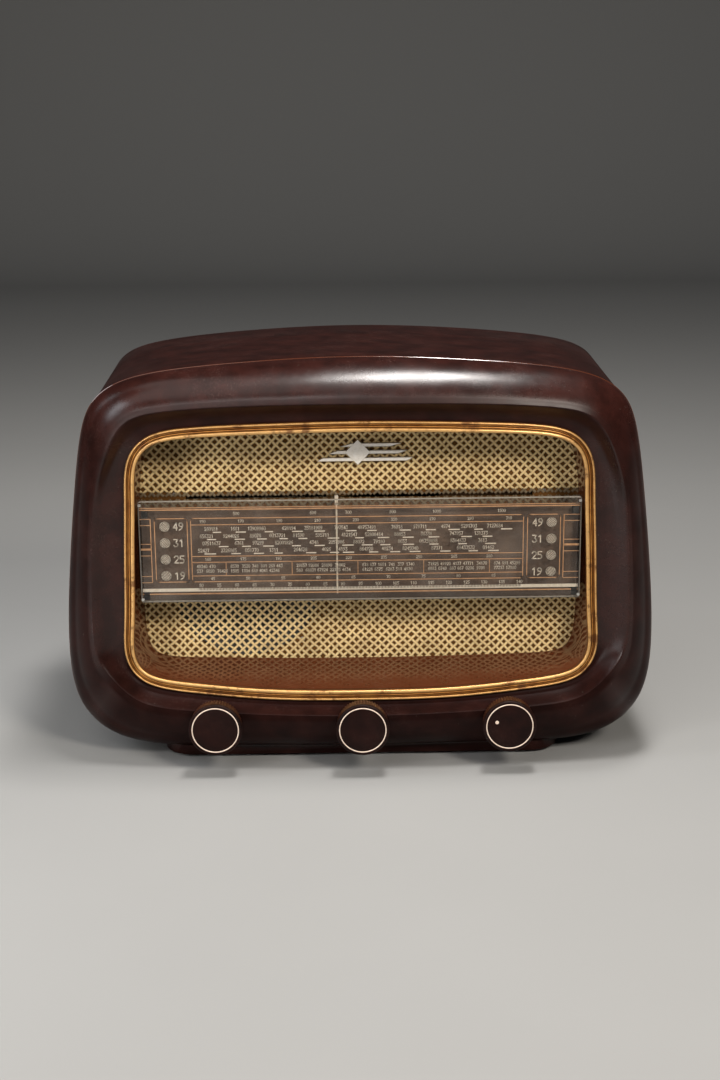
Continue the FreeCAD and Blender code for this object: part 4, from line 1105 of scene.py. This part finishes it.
# ---------------- studio
def studio():
    """Pale floor that curves up behind, and soft lights."""
    floor_paint = Paint("studio_floor", Roughness=0.85, Specular_IOR_Level=0.2)
    tone = floor_paint.noise(3, 3)
    near = floor_paint.mix(tone, (0.25, 0.25, 0.245), (0.28, 0.28, 0.275))
    behind = floor_paint.node("ShaderNodeSeparateXYZ", "Y", {0: floor_paint.place})
    far = floor_paint.ranged(behind, 0.3, 2.6)
    floor_paint.set(Base_Color=floor_paint.mix(far, near, (0.50, 0.50, 0.49)))
    profile = [(-2.5, 0.0), (3.0, 0.0)]
    for k in range(1, 13):
        angle = math.radians(90 * k / 12)
        profile.append((3.0 + math.sin(angle), 1.0 - math.cos(angle)))
    vertices = [(x, y, z) for y, z in profile for x in (-6.0, 6.0)]
    faces = [(2 * i, 2 * i + 1, 2 * i + 3, 2 * i + 2) for i in range(len(profile) - 1)]
    mesh = bpy.data.meshes.new("studio_floor")
    mesh.from_pydata(vertices, [], faces)
    mesh.polygons.foreach_set("use_smooth", [True] * len(mesh.polygons))
    mesh.materials.append(floor_paint.material)
    floor = link("studio_floor", mesh)

    def light(name, place, target, width, height, power, colour):
        lamp = bpy.data.lights.new(name, "AREA")
        lamp.shape = "RECTANGLE"
        lamp.size = width
        lamp.size_y = height
        lamp.energy = power
        lamp.color = colour
        holder = link(name, lamp)
        holder.location = place
        holder.rotation_euler = (Vector(target) - Vector(place)).to_track_quat("-Z", "Y").to_euler()

    light("overhead", (0.14, -0.12, 1.35), (0.06, -0.08, 0.2), 0.44, 0.18, 19, (1.0, 0.97, 0.94))
    light("key", (0.70, -1.20, 1.05), (0, -0.05, 0.14), 0.35, 0.35, 19, (1.0, 0.93, 0.84))
    light("ceiling", (-0.35, -0.35, 1.5), (-0.10, -0.06, 0.2), 1.2, 0.8, 3.6, (1.0, 0.96, 0.92))
    light("edge", (-0.95, -0.25, 0.85), (-0.15, -0.05, 0.18), 0.25, 0.5, 2.8, (0.90, 0.95, 1.0))
    light("front_left", (-0.62, -0.66, 0.40), (-0.18, -0.09, 0.2), 0.12, 0.42, 2.6,
          (1.0, 0.98, 0.96))
    light("streak", (-0.43, -0.28, 0.085), (-0.19, -0.09, 0.15), 0.10, 0.16, 0.16,
          (0.97, 0.98, 1.0))
    light("ridge", (-0.42, -1.05, 1.00), (-0.10, -0.09, 0.26), 0.9, 0.22, 5.0, (1.0, 0.97, 0.95))
    world = bpy.data.worlds.new("studio")
    world.use_nodes = True
    sky = world.node_tree.nodes["Background"]
    sky.inputs["Color"].default_value = (0.80, 0.85, 0.92, 1)
    sky.inputs["Strength"].default_value = 0.025
    bpy.context.scene.world = world
    bpy.context.scene.view_settings.view_transform = "Standard"


def camera():
    """Looking down on the front from a little over a metre, a touch from the left, with a roll."""
    pitch = math.radians(15.0)
    tilt = math.radians(0.5)
    target = Vector((-0.0006, at(0) * MM, 0.1645))
    place = target + 1.097 * Vector((0, -math.cos(pitch), math.sin(pitch)))
    place.x = -0.015
    forward = (target - place).normalized()
    right = forward.cross(Vector((0, 0, 1))).normalized()
    up = right.cross(forward)
    x_axis = right * math.cos(tilt) - up * math.sin(tilt)
    y_axis = right * math.sin(tilt) + up * math.cos(tilt)
    lens = bpy.data.cameras.new("camera")
    lens.lens = 55.0
    lens.sensor_fit = "VERTICAL"
    lens.sensor_height = 36.0
    lens.clip_start = 0.05
    eye = link("camera", lens)
    turn = Matrix((x_axis, y_axis, -forward)).transposed().to_4x4()
    eye.matrix_world = Matrix.Translation(place) @ turn
    bpy.context.scene.camera = eye


# ---------------- the object
paint = paints()
cabinet(paint)
window_bezel(paint)
grille(paint)
dial(paint)
badge(paint)
knobs(paint)
finish_nodes(paint)
studio()
camera()
